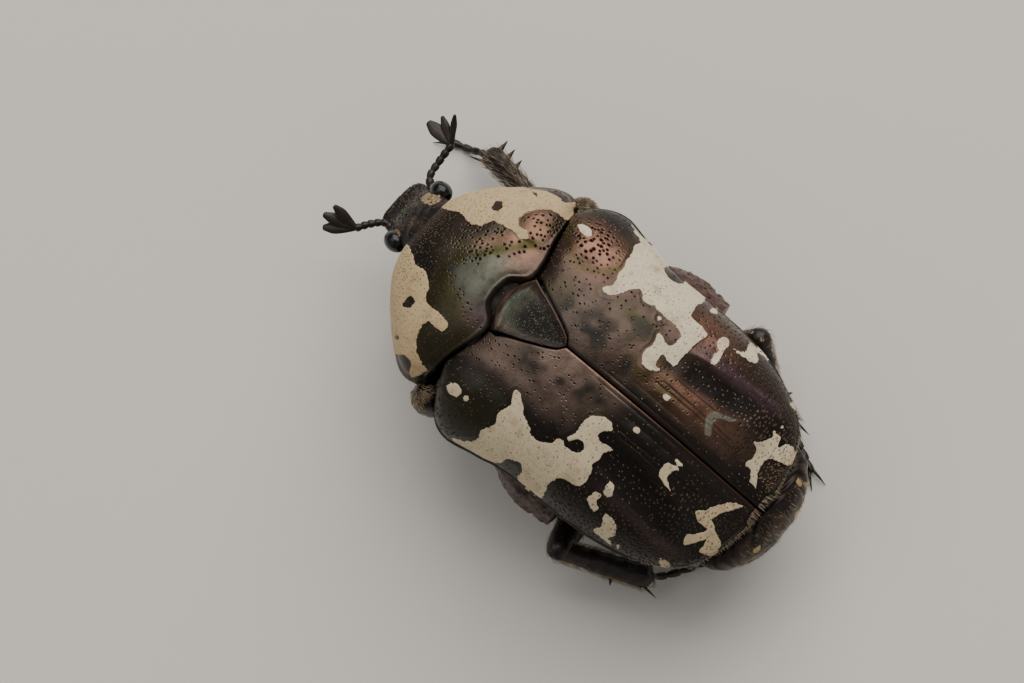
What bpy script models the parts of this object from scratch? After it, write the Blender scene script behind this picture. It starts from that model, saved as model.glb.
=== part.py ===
"""A flower chafer about 16 mm long, standing on its six feet, as one still life-size model.

All sizes and places below are in millimetres, with the floor at height 0. The head points along -Y and the
beetle's left side lies at +X. Height is +Z. The wing cases, trunk and prothorax are lofted through rows of
section sizes, the limbs through rows of joint places and half thicknesses, and a piece that grows from
another one is cut back from it by GAP.
"""
import math

import bmesh
import bpy
import numpy as np
from mathutils import Matrix, Vector

MM = 0.001
GAP = 0.2
# How much further than a flat place an edge may move when a body is grown, so that spines don't shoot out
SHARPEST = 1.15
LEFT, RIGHT = 1, -1
SIDE_NAMES = {LEFT: "left", RIGHT: "right"}

# Mesh density
SHELL_ROWS, SHELL_STEPS = 22, 12
SCUTELLUM_ROWS, SCUTELLUM_STEPS = 9, 7
PROTHORAX_ROWS = 15
TRUNK_ROWS, TRUNK_STEPS = 11, 10
PYGIDIUM_ROWS = 7
HEAD_ROWS = 10
RING_SIDES = 32
BALL_SEGMENTS, BALL_RINGS = 12, 8
LIMB_ROWS, JOINTED_ROWS, STALK_ROWS = 6, 11, 8
LIMB_SIDES = 10
CONE_SIDES = 5

# Finishes: colour, roughness, metallic
BACK_FINISH = ((0.05, 0.03, 0.022), 0.25, 0.7)
BODY_FINISH = ((0.03, 0.022, 0.016), 0.3, 0.6)
LIMB_FINISH = ((0.022, 0.016, 0.012), 0.35, 0.4)
EYE_FINISH = ((0.01, 0.01, 0.012), 0.08, 0.2)

# How square a rounded section is, where 2 is an ellipse
PRONOTUM_POWER, FLANK_POWER, HEAD_POWER, PYGIDIUM_POWER = 2.4, 1.8, 2.8, 2.0

# A limb's rounded end, as shares of its half width there: its reach past the last place, and its width
END_REACH, END_WIDTH = 0.55, 0.65
# Joints of a tarsus or an antenna's stalk: widths at and between them
BEAD, WAIST = 1.12, 0.92
# Radius at the tip of a spine, tooth or claw
TIP_RADIUS = 0.03

# Wing cases: y, half width at the margin, height of the margin, height of the crown
SHELL = [
    (-2.55, 3.70, 4.75, 6.60),
    (-2.40, 4.10, 4.62, 6.70),
    (-2.00, 4.40, 4.50, 6.85),
    (-1.40, 4.50, 4.38, 7.00),
    (-0.50, 4.34, 4.36, 7.15),
    (0.30, 4.18, 4.42, 7.20),
    (1.10, 4.10, 4.32, 7.20),
    (2.30, 4.10, 4.20, 7.08),
    (3.40, 4.07, 4.10, 6.88),
    (4.40, 3.95, 4.05, 6.60),
    (5.30, 3.74, 4.02, 6.25),
    (6.10, 3.42, 4.02, 5.82),
    (6.75, 3.00, 4.10, 5.40),
    (7.20, 2.45, 4.25, 5.15),
    (7.55, 1.60, 4.48, 5.02),
    (7.80, 0.50, 4.72, 4.95),
]
SHELL_THICKNESS = 0.5
SHELL_POWER = 2.5
# The inner face of a wing case keeps this share of its half width, or this much beside its inner edge
NARROWEST_SHARE, NARROWEST_STRIP = 0.4, 0.05
# How suddenly the inner face draws in towards the tail
TAIL_FALL = 4
# Swellings and hollows of a wing case: distance from the middle, y, half size across and along, height
RELIEF = [
    (3.05, -1.60, 0.75, 0.80, 0.12),
    (1.95, 5.95, 0.60, 0.55, 0.14),
    (1.85, 4.00, 0.45, 1.70, -0.10),
]

# Scutellum: y, half width
SCUTELLUM = [
    (-2.62, 0.55),
    (-2.45, 0.95),
    (-2.15, 1.12),
    (-1.75, 0.94),
    (-1.10, 0.68),
    (-0.50, 0.42),
    (-0.20, 0.25),
    (-0.06, 0.08),
]

# Prothorax: y, half width, height of the side edge, height of the crown, height of the underside
PROTHORAX = [
    (-6.30, 1.15, 4.60, 5.35, 3.60),
    (-6.05, 1.75, 4.52, 5.58, 3.20),
    (-5.60, 2.35, 4.45, 5.88, 2.80),
    (-5.10, 2.85, 4.40, 6.16, 2.50),
    (-4.50, 3.38, 4.38, 6.45, 2.30),
    (-3.95, 3.75, 4.40, 6.65, 2.20),
    (-3.50, 3.88, 4.46, 6.76, 2.20),
    (-3.10, 3.80, 4.55, 6.80, 2.30),
    (-2.70, 3.50, 4.70, 6.78, 2.50),
]
# Its hind edge seen from above: distance from the middle, y
PRONOTUM_BASE = [
    (0.0, -2.98),
    (0.55, -2.86),
    (1.0, -2.36),
    (1.6, -2.38),
    (2.4, -2.64),
    (3.1, -2.84),
    (3.9, -3.15),
]
# How suddenly the rows turn into that edge towards the back, and how far down the sides they hold it
BASE_FALL, BASE_HOLD = 3, 0.3
PROTHORAX_TURN = math.radians(-2.5)
PROTHORAX_PIVOT = (0.0, -2.6, 5.0)

# Trunk under the wing cases: y, half width of the flank, height of the flank, height of the underside
THORAX = [
    (-2.50, 3.30, 3.70, 2.30),
    (-1.60, 3.85, 3.55, 1.80),
    (-0.60, 4.02, 3.45, 1.55),
    (0.15, 4.17, 3.40, 1.50),
    (0.60, 4.45, 3.38, 1.50),
    (1.40, 4.65, 3.35, 1.50),
    (2.15, 4.62, 3.30, 1.55),
    (2.60, 4.56, 3.33, 1.65),
]
ABDOMEN = [
    (2.80, 3.95, 3.60, 1.70),
    (3.60, 3.92, 3.55, 1.65),
    (4.60, 3.78, 3.50, 1.70),
    (5.50, 3.52, 3.50, 1.85),
    (6.30, 3.15, 3.52, 2.05),
    (7.00, 2.60, 3.60, 2.30),
]
PYGIDIUM = [
    (7.22, 2.45, 3.45, 4.10, 2.42),
    (7.55, 2.32, 3.45, 4.35, 2.25),
    (7.90, 2.05, 3.40, 4.40, 2.22),
    (8.20, 1.62, 3.35, 4.20, 2.32),
    (8.42, 1.10, 3.30, 3.92, 2.58),
    (8.55, 0.50, 3.30, 3.60, 2.95),
]

# How far inside the wing cases' margin the trunk's ledge ends
LEDGE_INSET = 0.1
# The abdomen's plates: how far each ring steps in and out
PLATE_STEP = 0.07
# The hairy lobes between the prothorax's hind corners and the shoulders: places (x outward), half sizes
SHOULDER_LOBES = {LEFT: (3.92, -2.72, 4.25), RIGHT: (3.78, -2.72, 4.20)}
SHOULDER_LOBE_HALVES = (0.50, 0.60, 0.80)

# Head, along its own axis: distance from the neck, half width, thickness above and below the axis
HEAD = [
    (-0.30, 0.80, 0.50, 0.75),
    (0.10, 0.95, 0.58, 0.90),
    (0.50, 1.05, 0.60, 1.00),
    (0.90, 1.06, 0.56, 1.00),
    (1.30, 0.95, 0.48, 0.85),
    (1.65, 0.92, 0.38, 0.62),
    (1.92, 0.91, 0.36, 0.40),
    (2.04, 0.88, 0.38, 0.30),
    (2.12, 0.80, 0.32, 0.20),
]
NECK = (-0.33, -6.12, 4.60)
HEAD_PITCH = math.radians(45)
HEAD_TURN = math.radians(-3)
EYE_PLACE = (1.08, 0.80, 0.20)
EYE_RADII = (0.34, 0.42, 0.38)

# Each leg, piece by piece from the hip: rows of x, y, z, half width, half height on the beetle's own side
FRONT_COXA = [
    (0.70, -3.75, 2.70, 0.42, 0.42),
    (0.95, -3.85, 2.00, 0.50, 0.50),
    (1.15, -3.95, 1.35, 0.42, 0.42),
]
MIDDLE_COXA = [
    (0.80, -0.55, 2.10, 0.45, 0.45),
    (1.05, -0.52, 1.60, 0.52, 0.50),
    (1.30, -0.50, 1.15, 0.42, 0.38),
]
HIND_COXA = [
    (0.75, 1.95, 2.20, 0.50, 0.50),
    (1.05, 2.05, 1.60, 0.58, 0.50),
    (1.40, 2.20, 1.05, 0.45, 0.38),
]
LEGS = {
    ("front", RIGHT): [
        FRONT_COXA,
        [(1.15, -3.95, 1.55, 0.36, 0.34), (2.20, -4.10, 1.70, 0.42, 0.38), (3.15, -4.35, 2.30, 0.36, 0.34)],
        [(3.15, -4.35, 2.32, 0.30, 0.28), (3.40, -5.60, 1.85, 0.34, 0.28), (3.58, -6.78, 1.20, 0.38, 0.28)],
        [(3.57, -6.75, 1.20, 0.25, 0.22), (3.50, -7.25, 0.65, 0.25, 0.25), (3.36, -7.75, 0.25, 0.25, 0.25),
         (3.20, -8.30, 0.22, 0.25, 0.25)],
    ],
    ("front", LEFT): [
        FRONT_COXA,
        [(1.15, -3.95, 1.55, 0.36, 0.34), (2.00, -3.95, 1.60, 0.42, 0.38), (2.75, -3.95, 2.05, 0.36, 0.34)],
        [(2.75, -3.95, 2.07, 0.30, 0.28), (2.35, -4.80, 1.45, 0.34, 0.28), (1.95, -5.55, 0.85, 0.38, 0.28)],
        [(1.95, -5.52, 0.85, 0.25, 0.22), (1.65, -5.95, 0.40, 0.25, 0.25), (1.25, -6.35, 0.22, 0.25, 0.25),
         (0.75, -6.70, 0.22, 0.25, 0.25)],
    ],
    ("middle", RIGHT): [
        MIDDLE_COXA,
        [(1.20, -0.50, 1.25, 0.36, 0.32), (2.60, -0.60, 1.42, 0.45, 0.38), (3.65, -0.70, 2.00, 0.36, 0.34)],
        [(3.65, -0.70, 2.02, 0.30, 0.28), (3.85, 0.40, 1.40, 0.32, 0.28), (3.90, 1.45, 0.80, 0.36, 0.28)],
        [(3.90, 1.42, 0.80, 0.25, 0.22), (3.92, 1.90, 0.40, 0.25, 0.25), (3.88, 2.60, 0.22, 0.25, 0.25),
         (3.78, 3.40, 0.22, 0.25, 0.25)],
    ],
    ("middle", LEFT): [
        MIDDLE_COXA,
        [(1.20, -0.50, 1.25, 0.36, 0.32), (2.60, -0.50, 1.42, 0.45, 0.38), (3.65, -0.50, 2.00, 0.36, 0.34)],
        [(3.65, -0.50, 2.02, 0.30, 0.28), (3.75, 0.55, 1.40, 0.32, 0.28), (3.70, 1.50, 0.80, 0.36, 0.28)],
        [(3.70, 1.47, 0.80, 0.25, 0.22), (3.70, 1.95, 0.40, 0.25, 0.25), (3.62, 2.60, 0.22, 0.25, 0.25),
         (3.50, 3.30, 0.22, 0.25, 0.25)],
    ],
    ("hind", RIGHT): [
        HIND_COXA,
        [(1.25, 2.12, 1.15, 0.40, 0.34), (3.00, 2.95, 1.30, 0.56, 0.40), (4.38, 3.92, 2.30, 0.42, 0.38)],
        [(4.38, 3.92, 2.32, 0.32, 0.30), (3.45, 5.05, 1.60, 0.36, 0.30), (2.95, 6.15, 0.90, 0.42, 0.32)],
        [(2.97, 6.11, 0.92, 0.26, 0.24), (2.85, 6.55, 0.42, 0.25, 0.25), (2.62, 7.05, 0.22, 0.25, 0.25),
         (2.32, 7.65, 0.22, 0.25, 0.25)],
    ],
    ("hind", LEFT): [
        HIND_COXA,
        [(1.25, 2.12, 1.15, 0.40, 0.34), (3.20, 2.75, 1.25, 0.56, 0.40), (4.88, 3.26, 2.30, 0.42, 0.38)],
        [(4.88, 3.28, 2.32, 0.32, 0.30), (4.32, 4.55, 1.65, 0.36, 0.30), (3.75, 5.75, 0.95, 0.42, 0.32)],
        [(3.76, 5.70, 0.95, 0.26, 0.24), (3.36, 6.15, 0.44, 0.25, 0.25), (2.75, 6.55, 0.22, 0.25, 0.25),
         (2.05, 6.95, 0.22, 0.25, 0.25)],
    ],
}
LEG_PIECES = ("coxa", "femur", "tibia", "tarsus")
# Teeth on a tibia's outer edge: share of its length, reach past the edge. They lean towards its end
TEETH = {
    "front": [(0.62, 0.22), (0.80, 0.30), (0.97, 0.32)],
    "middle": [(0.60, 0.16)],
    "hind": [(0.62, 0.18)],
}
TOOTH_RADIUS, TOOTH_LEAN = 0.17, 0.5
# Spurs at a tibia's end: how far outward each root lies. A tip lies this many times as far outward
SPURS = {"front": [-0.28], "middle": [-0.28, 0.26], "hind": [-0.30, 0.29]}
SPUR_RADIUS, SPUR_LENGTH, SPUR_SPREAD = 0.11, 0.62, 2.0
# Claws: how far each tip lies aside, and the root's share of that
CLAW_RADIUS, CLAW_LENGTH, CLAW_SPREAD, CLAW_ROOT = 0.10, 0.60, 0.26, 0.4

# Antennae: the stalk's path, then the tip of each leaf of the club, on the beetle's own side of the middle
STALKS = {
    RIGHT: [(-1.25, -7.00, 3.80), (-1.62, -7.45, 3.70), (-2.20, -7.56, 3.63), (-2.86, -7.60, 3.62)],
    LEFT: [(0.50, -7.10, 3.72), (0.42, -7.60, 3.60), (0.74, -7.98, 3.53), (1.15, -8.27, 3.50)],
}
LEAF_TIPS = {
    RIGHT: [(-2.96, -8.66, 3.50), (-3.36, -8.39, 3.70), (-3.63, -8.07, 3.95)],
    LEFT: [(1.78, -9.10, 3.40), (1.46, -9.32, 3.58), (1.06, -9.18, 3.85)],
}
STALK_RADIUS = 0.25
# A leaf's half width and half height at its root, at its widest place and at its tip
LEAF_ROOT_HALVES, LEAF_HALVES, LEAF_TIP_HALVES = (0.14, 0.14), (0.22, 0.16), (0.12, 0.10)
LEAF_WIDEST = 0.6


def smooth_rows(rows, count):
    """Reads count rows from a smooth curve through the given rows, which it passes at even steps."""
    rows = np.array(rows, float)
    padded = np.vstack([2 * rows[0] - rows[1], rows, 2 * rows[-1] - rows[-2]])
    place = np.linspace(0, len(rows) - 1, count)
    first = np.minimum(place.astype(int), len(rows) - 2)
    t = (place - first)[:, None]
    a, b, c, d = (padded[first + k] for k in range(4))
    return 0.5 * (2 * b + (c - a) * t + (2 * a - 5 * b + 4 * c - d) * t**2 + (3 * b - a - 3 * c + d) * t**3)


def rounded(angle, power):
    """The two sizes, from 0 to 1, of a rounded quarter at this angle: across and up."""
    return math.sin(angle) ** (2 / power), math.cos(angle) ** (2 / power)


def finish_mesh(shape, name, finish):
    """Turns a bmesh in millimetres into a named object in metres with a material of its own."""
    colour, roughness, metallic = finish
    bmesh.ops.recalc_face_normals(shape, faces=shape.faces)
    bmesh.ops.triangulate(shape, faces=shape.faces)
    mesh = bpy.data.meshes.new(name)
    shape.to_mesh(mesh)
    shape.free()
    mesh.transform(Matrix.Scale(MM, 4))
    obj = bpy.data.objects.new(name, mesh)
    bpy.context.scene.collection.objects.link(obj)
    material = bpy.data.materials.new(name)
    material.use_nodes = True
    surface = material.node_tree.nodes["Principled BSDF"]
    surface.inputs["Base Color"].default_value = (*colour, 1)
    surface.inputs["Roughness"].default_value = roughness
    surface.inputs["Metallic"].default_value = metallic
    mesh.materials.append(material)
    return obj


def loft(rings, name, finish=BODY_FINISH):
    """Joins closed rings of points into one closed body, with a fan on each end."""
    shape = bmesh.new()
    grid = [[shape.verts.new(p) for p in ring] for ring in rings]
    sides = len(grid[0])
    for lower, upper in zip(grid, grid[1:]):
        for i in range(sides):
            j = (i + 1) % sides
            shape.faces.new((lower[i], lower[j], upper[j], upper[i]))
    for ring in (grid[0], grid[-1]):
        centre = shape.verts.new(np.mean([v.co for v in ring], axis=0))
        for i in range(sides):
            shape.faces.new((ring[i], ring[(i + 1) % sides], centre))
    return finish_mesh(shape, name, finish)


def plate(outer, inner, name):
    """Joins two grids of points, row by row, into one closed plate with edges all round."""
    shape = bmesh.new()
    top, bottom = ([[shape.verts.new(p) for p in row] for row in grid] for grid in (outer, inner))
    rows, steps = len(top), len(top[0])
    for grid in (top, bottom):
        for i in range(rows - 1):
            for j in range(steps - 1):
                shape.faces.new((grid[i][j], grid[i][j + 1], grid[i + 1][j + 1], grid[i + 1][j]))
    rim = [(0, j) for j in range(steps - 1)] + [(i, steps - 1) for i in range(rows - 1)]
    rim += [(rows - 1, j) for j in range(steps - 1, 0, -1)] + [(i, 0) for i in range(rows - 1, 0, -1)]
    for (i, j), (k, m) in zip(rim, rim[1:] + rim[:1]):
        shape.faces.new((top[i][j], top[k][m], bottom[k][m], bottom[i][j]))
    return finish_mesh(shape, name, BACK_FINISH)


def grown(obj, by):
    """A copy of a closed body whose surface stands this many millimetres further out."""
    shape = bmesh.new()
    shape.from_mesh(obj.data)
    shape.normal_update()
    moves = [v.normal * min(v.calc_shell_factor(), SHARPEST) * by * MM for v in shape.verts]
    for vertex, move in zip(shape.verts, moves):
        vertex.co += move
    mesh = bpy.data.meshes.new("grown")
    shape.to_mesh(mesh)
    shape.free()
    copy = bpy.data.objects.new("grown", mesh)
    bpy.context.scene.collection.objects.link(copy)
    return copy


def combine(obj, operation, others, solvers=("EXACT", "MANIFOLD")):
    """Applies one Boolean of obj with a collection of closed bodies, which it then removes.

    Where the first solver leaves nothing, the next one is used.
    """
    group = bpy.data.collections.new("operands")
    bpy.context.scene.collection.children.link(group)
    for other in others:
        bpy.context.scene.collection.objects.unlink(other)
        group.objects.link(other)
    step = obj.modifiers.new("combine", "BOOLEAN")
    step.operation = operation
    step.operand_type = "COLLECTION"
    step.collection = group
    for solver in solvers:
        step.solver = solver
        bpy.context.view_layer.update()
        result = obj.evaluated_get(bpy.context.evaluated_depsgraph_get())
        mesh = bpy.data.meshes.new_from_object(result)
        if mesh.polygons:
            break
    obj.modifiers.clear()
    obj.data = mesh
    for other in others:
        bpy.data.objects.remove(other)
    bpy.data.collections.remove(group)
    keep_largest(obj)


def keep_largest(obj):
    """Keeps the largest closed surface of a body, which drops scraps and sealed hollows."""
    shape = bmesh.new()
    shape.from_mesh(obj.data)
    bmesh.ops.triangulate(shape, faces=shape.faces)
    unseen = set(shape.faces)
    groups = []
    while unseen:
        group = {unseen.pop()}
        edge_of_group = list(group)
        while edge_of_group:
            face = edge_of_group.pop()
            for near in (f for e in face.edges for f in e.link_faces if f in unseen):
                unseen.discard(near)
                group.add(near)
                edge_of_group.append(near)
        groups.append(group)
    groups.sort(key=lambda group: sum(f.calc_area() for f in group), reverse=True)
    spare = [f for group in groups[1:] for f in group]
    bmesh.ops.delete(shape, geom=spare, context="FACES")
    shape.to_mesh(obj.data)
    shape.free()


def clear_of(obj, *others, solvers=("EXACT", "MANIFOLD")):
    """Cuts a body back until it stands GAP away from the others."""
    combine(obj, "DIFFERENCE", [grown(other, GAP) for other in others], solvers)


def join(obj, pieces):
    """Fuses the pieces to a body."""
    combine(obj, "UNION", pieces)


def turned(points, angle, pivot):
    """The points after a turn about an upright axis through pivot."""
    centre = Vector(pivot)
    matrix = Matrix.Translation(centre) @ Matrix.Rotation(angle, 4, "Z") @ Matrix.Translation(-centre)
    return [matrix @ Vector(p) for p in points]


def section_at(rows, y):
    """The sizes of a lofted body at one y."""
    table = np.array(rows)
    return [float(np.interp(y, table[:, 0], column)) for column in table.T[1:]]


def relief(x, y):
    """How far the wing cases' swellings and hollows raise the surface at a place."""
    return sum(
        height * math.exp(-(((abs(x) - across) / half_across) ** 2) - ((y - along) / half_along) ** 2)
        for across, along, half_across, half_along, height in RELIEF
    )


def shell_height(x, y):
    """Height of the wing cases' outer surface without its swellings."""
    half, margin, crown = section_at(SHELL, y)
    share = min(abs(x) / half, 1)
    return margin + (crown - margin) * (1 - share**SHELL_POWER) ** (1 / SHELL_POWER)


def scutellum_half(y):
    """Half width of the scutellum, which falls to less than nothing behind its tip."""
    table = np.array(SCUTELLUM)
    behind = (y - table[-1, 0]) * (table[-1, 1] - table[-2, 1]) / (table[-1, 0] - table[-2, 0])
    return float(np.interp(y, table[:, 0], table[:, 1])) + min(behind, 0)


def shell_grid(side, inset):
    """Points of one wing case's surface, moved inward by inset, in rows from front to back."""
    rows = smooth_rows(SHELL, SHELL_ROWS)
    front, back = rows[0][0], rows[-1][0]
    grid = []
    for y, half, margin, crown in rows:
        inner_edge = max(scutellum_half(y) + GAP, GAP / 2)
        half_in = max(half - inset, NARROWEST_SHARE * half, inner_edge + NARROWEST_STRIP)
        crown_in = max(crown - inset, margin)
        place = y - inset * ((y - front) / (back - front)) ** TAIL_FALL
        first = math.asin(min(inner_edge / half_in, 1) ** (SHELL_POWER / 2))
        row = []
        for angle in np.linspace(first, math.pi / 2, SHELL_STEPS + 1):
            across, up = rounded(min(angle, math.pi / 2), SHELL_POWER)
            x = half_in * across
            row.append((side * x, place, margin + (crown_in - margin + relief(x, place)) * up))
        grid.append(row)
    return grid


def wing_case(side):
    """One wing case: a curved shell with the scutellum's side cut out of its inner front corner."""
    outer, inner = shell_grid(side, 0), shell_grid(side, SHELL_THICKNESS)
    return plate(outer, inner, f"elytron_{SIDE_NAMES[side]}")


def scutellum():
    """The three-sided plate between the roots of the wing cases."""
    rows = smooth_rows(SCUTELLUM, SCUTELLUM_ROWS)
    steps = [(y, np.linspace(-half, half, SCUTELLUM_STEPS)) for y, half in rows]
    top = [[(x, y, shell_height(x, y)) for x in across] for y, across in steps]
    bottom = [[(x, y, z - SHELL_THICKNESS) for x, y, z in row] for row in top]
    return plate(top, bottom, "scutellum")


def trunk(rows, name, step=0):
    """A length of the trunk: a rounded underside, a ledge under the wing cases and a crown inside them.

    With a step, every other ring is smaller by it, which parts the underside into plates.
    """
    rings = []
    for k, (y, flank, flank_height, underside) in enumerate(smooth_rows(rows, TRUNK_ROWS)):
        flank -= step * (k % 2)
        underside += step * (k % 2)
        half, margin, crown = section_at(SHELL, max(y, SHELL[0][0]))
        ledge = margin - GAP
        profile = []
        for angle in np.linspace(0, math.pi / 2, TRUNK_STEPS):
            across, down = rounded(angle, FLANK_POWER)
            profile.append((flank * across, flank_height - (flank_height - underside) * down))
        profile.append((min(half - LEDGE_INSET, flank), ledge))
        inner = half - SHELL_THICKNESS - GAP
        for angle in np.linspace(math.pi / 2, 0, TRUNK_STEPS):
            across, up = rounded(angle, SHELL_POWER)
            profile.append((inner * across, ledge + (crown - SHELL_THICKNESS - GAP - ledge) * up))
        ring = [(x, y, z) for x, z in profile] + [(-x, y, z) for x, z in profile[-2:0:-1]]
        rings.append(ring)
    return loft(rings, name)


def oval_ring(half, top, middle, bottom, top_power, bottom_power):
    """Points of a closed section as (x, z, share of the way up), from the crown round by the right side."""
    ring = []
    for angle in np.linspace(0, 2 * math.pi, RING_SIDES, endpoint=False):
        up = math.cos(angle)
        across, high = rounded(math.acos(min(abs(up), 1)), top_power if up > 0 else bottom_power)
        x = half * across * (1 if math.sin(angle) > 0 else -1)
        ring.append((x, middle + high * ((top if up > 0 else bottom) - middle), max(up, 0)))
    return ring


def pygidium():
    """The last plate of the back, which shows behind the wing cases."""
    rings = []
    for y, half, middle, top, bottom in smooth_rows(PYGIDIUM, PYGIDIUM_ROWS):
        section = oval_ring(half, top, middle, bottom, PYGIDIUM_POWER, PYGIDIUM_POWER)
        rings.append([(x, y, z) for x, z, up in section])
    return loft(rings, "pygidium", BACK_FINISH)


def shoulder_lobe(side):
    """The lobe that fills the corner between the prothorax and a wing case."""
    x, y, z = SHOULDER_LOBES[side]
    return ball("lobe", Matrix.Translation((side * x, y, z)), SHOULDER_LOBE_HALVES, BODY_FINISH)


def prothorax():
    """The shield behind the head, with its underside. The hind edge follows PRONOTUM_BASE."""
    base = np.array(PRONOTUM_BASE)
    rows = smooth_rows(PROTHORAX, PROTHORAX_ROWS)
    rings = []
    for k, (y, half, edge, crown, underside) in enumerate(rows):
        share = (k / (len(rows) - 1)) ** BASE_FALL
        ring = []
        for x, z, up in oval_ring(half, crown, edge, underside, PRONOTUM_POWER, FLANK_POWER):
            moved = np.interp(abs(x), base[:, 0], base[:, 1]) - PROTHORAX[-1][0]
            ring.append((x, y + share * moved * up**BASE_HOLD, z))
        rings.append(turned(ring, PROTHORAX_TURN, PROTHORAX_PIVOT))
    return loft(rings, "prothorax", BACK_FINISH)


def head_matrix():
    """Places the head's own frame, x to its left, y towards its front and z up from its face."""
    turn = Matrix.Rotation(HEAD_TURN, 4, "Z")
    pitch = Matrix.Rotation(HEAD_PITCH, 4, "X")
    return Matrix.Translation(NECK) @ turn @ pitch @ Matrix.Diagonal((1, -1, 1, 1))


def head():
    """Head with its flat clypeus in front."""
    place = head_matrix()
    rings = []
    for along, half, above, below in smooth_rows(HEAD, HEAD_ROWS):
        section = oval_ring(half, above, 0, -below, HEAD_POWER, HEAD_POWER)
        rings.append([place @ Vector((x, along, z)) for x, z, up in section])
    return loft(rings, "head")


def ball(name, matrix, radii, finish):
    """An egg shape in its own frame."""
    shape = bmesh.new()
    bmesh.ops.create_uvsphere(shape, u_segments=BALL_SEGMENTS, v_segments=BALL_RINGS, radius=1)
    bmesh.ops.transform(shape, matrix=matrix @ Matrix.Diagonal((*radii, 1)), verts=shape.verts)
    return finish_mesh(shape, name, finish)


def cone(root, tip, radius):
    """A spine, tooth or claw from a round root to a point."""
    root, tip = Vector(root), Vector(tip)
    shape = bmesh.new()
    length = (tip - root).length
    bmesh.ops.create_cone(
        shape, cap_ends=True, segments=CONE_SIDES, radius1=radius, radius2=TIP_RADIUS, depth=length
    )
    turn = (tip - root).to_track_quat("Z", "Y").to_matrix().to_4x4()
    place = Matrix.Translation((root + tip) / 2) @ turn
    bmesh.ops.transform(shape, matrix=place, verts=shape.verts)
    return finish_mesh(shape, "cone", LIMB_FINISH)


def eye(side):
    """One compound eye at the side of the head."""
    x, along, up = EYE_PLACE
    place = head_matrix() @ Matrix.Translation((side * x, along, up))
    return ball(f"eye_{SIDE_NAMES[side]}", place, EYE_RADII, EYE_FINISH)


def limb(name, rows, count=LIMB_ROWS, beaded=False):
    """A limb piece through rows of x, y, z, half width and half height, rounded past its last row.

    Nothing of it goes below 0, so what meets the floor has a small flat there.
    """
    rows = smooth_rows(rows, count)
    rings = []
    for k, (x, y, z, half_width, half_height) in enumerate(rows):
        middle = Vector((x, y, z))
        ahead = Vector(rows[min(k + 1, count - 1)][:3] - rows[max(k - 1, 0)][:3]).normalized()
        swell = (WAIST if k % 2 else BEAD) if beaded else 1
        side = ahead.cross(Vector((0, 0, 1))).normalized() * half_width * swell
        up = side.cross(ahead).normalized() * half_height * swell
        steps = [(0, 1)]
        if k == count - 1:
            steps.append((END_REACH * half_width, END_WIDTH))
        for reach, width in steps:
            ring = []
            for angle in np.linspace(0, 2 * math.pi, LIMB_SIDES, endpoint=False):
                point = middle + ahead * reach + (side * math.cos(angle) + up * math.sin(angle)) * width
                point.z = max(point.z, 0)
                ring.append(point)
            rings.append(ring)
    return loft(rings, name, LIMB_FINISH)


def tibia_spines(pair, side, rows):
    """The teeth along a tibia's outer edge and the spurs at its end."""
    start, end = Vector(rows[0][:3]), Vector(rows[-1][:3])
    half_width = rows[-1][3]
    ahead = (end - start).normalized()
    outward = ahead.cross(Vector((0, 0, 1))).normalized()
    if outward.x * side < 0:
        outward = -outward
    middle = Vector(rows[1][:3])
    spines = []
    for share, length in TEETH[pair]:
        root = middle.lerp(end, 2 * share - 1)
        tip = root + outward * (half_width + length) + ahead * length * TOOTH_LEAN
        spines.append(cone(root, tip, TOOTH_RADIUS))
    for across in SPURS[pair]:
        tip = end + ahead * SPUR_LENGTH + outward * across * SPUR_SPREAD
        spines.append(cone(end + outward * across, tip, SPUR_RADIUS))
    return spines


def claws(rows):
    """The two claws at the end of a tarsus, which touch the floor ahead of it."""
    before, end = Vector(rows[-2][:3]), Vector(rows[-1][:3])
    ahead = (end - before).normalized()
    ahead.z = 0
    outward = ahead.cross(Vector((0, 0, 1)))
    pair = []
    for across in (-CLAW_SPREAD, CLAW_SPREAD):
        root = end + outward * across * CLAW_ROOT
        tip = end + ahead * CLAW_LENGTH + outward * across
        tip.z = TIP_RADIUS
        pair.append(cone(root, tip, CLAW_RADIUS))
    return pair


def leg(pair, side, body):
    """One leg: coxa, femur, tibia and tarsus, each cut back from the piece before it."""
    cutters = [grown(other, GAP) for other in body]
    for piece, rows in zip(LEG_PIECES, LEGS[pair, side]):
        placed = [(side * x, y, z, width, height) for x, y, z, width, height in rows]
        is_tarsus = piece == "tarsus"
        count = JOINTED_ROWS if is_tarsus else LIMB_ROWS
        part = limb(f"{pair}_{SIDE_NAMES[side]}_{piece}", placed, count, beaded=is_tarsus)
        combine(part, "DIFFERENCE", cutters)
        cutters = [grown(part, GAP)]
        if piece == "tibia":
            spines = tibia_spines(pair, side, placed)
            cutters += [grown(spine, GAP) for spine in spines[-len(SPURS[pair]):]]
            join(part, spines)
    join(part, claws(placed))
    for spare in cutters:
        bpy.data.objects.remove(spare)


def antenna(side, skull):
    """One antenna: its jointed stalk and the three leaves of its club."""
    rows = [(x, y, z, STALK_RADIUS, STALK_RADIUS) for x, y, z in STALKS[side]]
    stalk = limb(f"antenna_{SIDE_NAMES[side]}_stalk", rows, STALK_ROWS, beaded=True)
    # The exact solver misses this cut
    clear_of(stalk, skull, solvers=("MANIFOLD",))
    root = Vector(STALKS[side][-1])
    leaves = []
    for tip in LEAF_TIPS[side]:
        tip = Vector(tip)
        middle = root.lerp(tip, LEAF_WIDEST)
        rows = [(*root, *LEAF_ROOT_HALVES), (*middle, *LEAF_HALVES), (*tip, *LEAF_TIP_HALVES)]
        leaves.append(limb(f"antenna_{SIDE_NAMES[side]}_club", rows))
    club = leaves[0]
    join(club, leaves[1:])
    clear_of(club, stalk)


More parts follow.
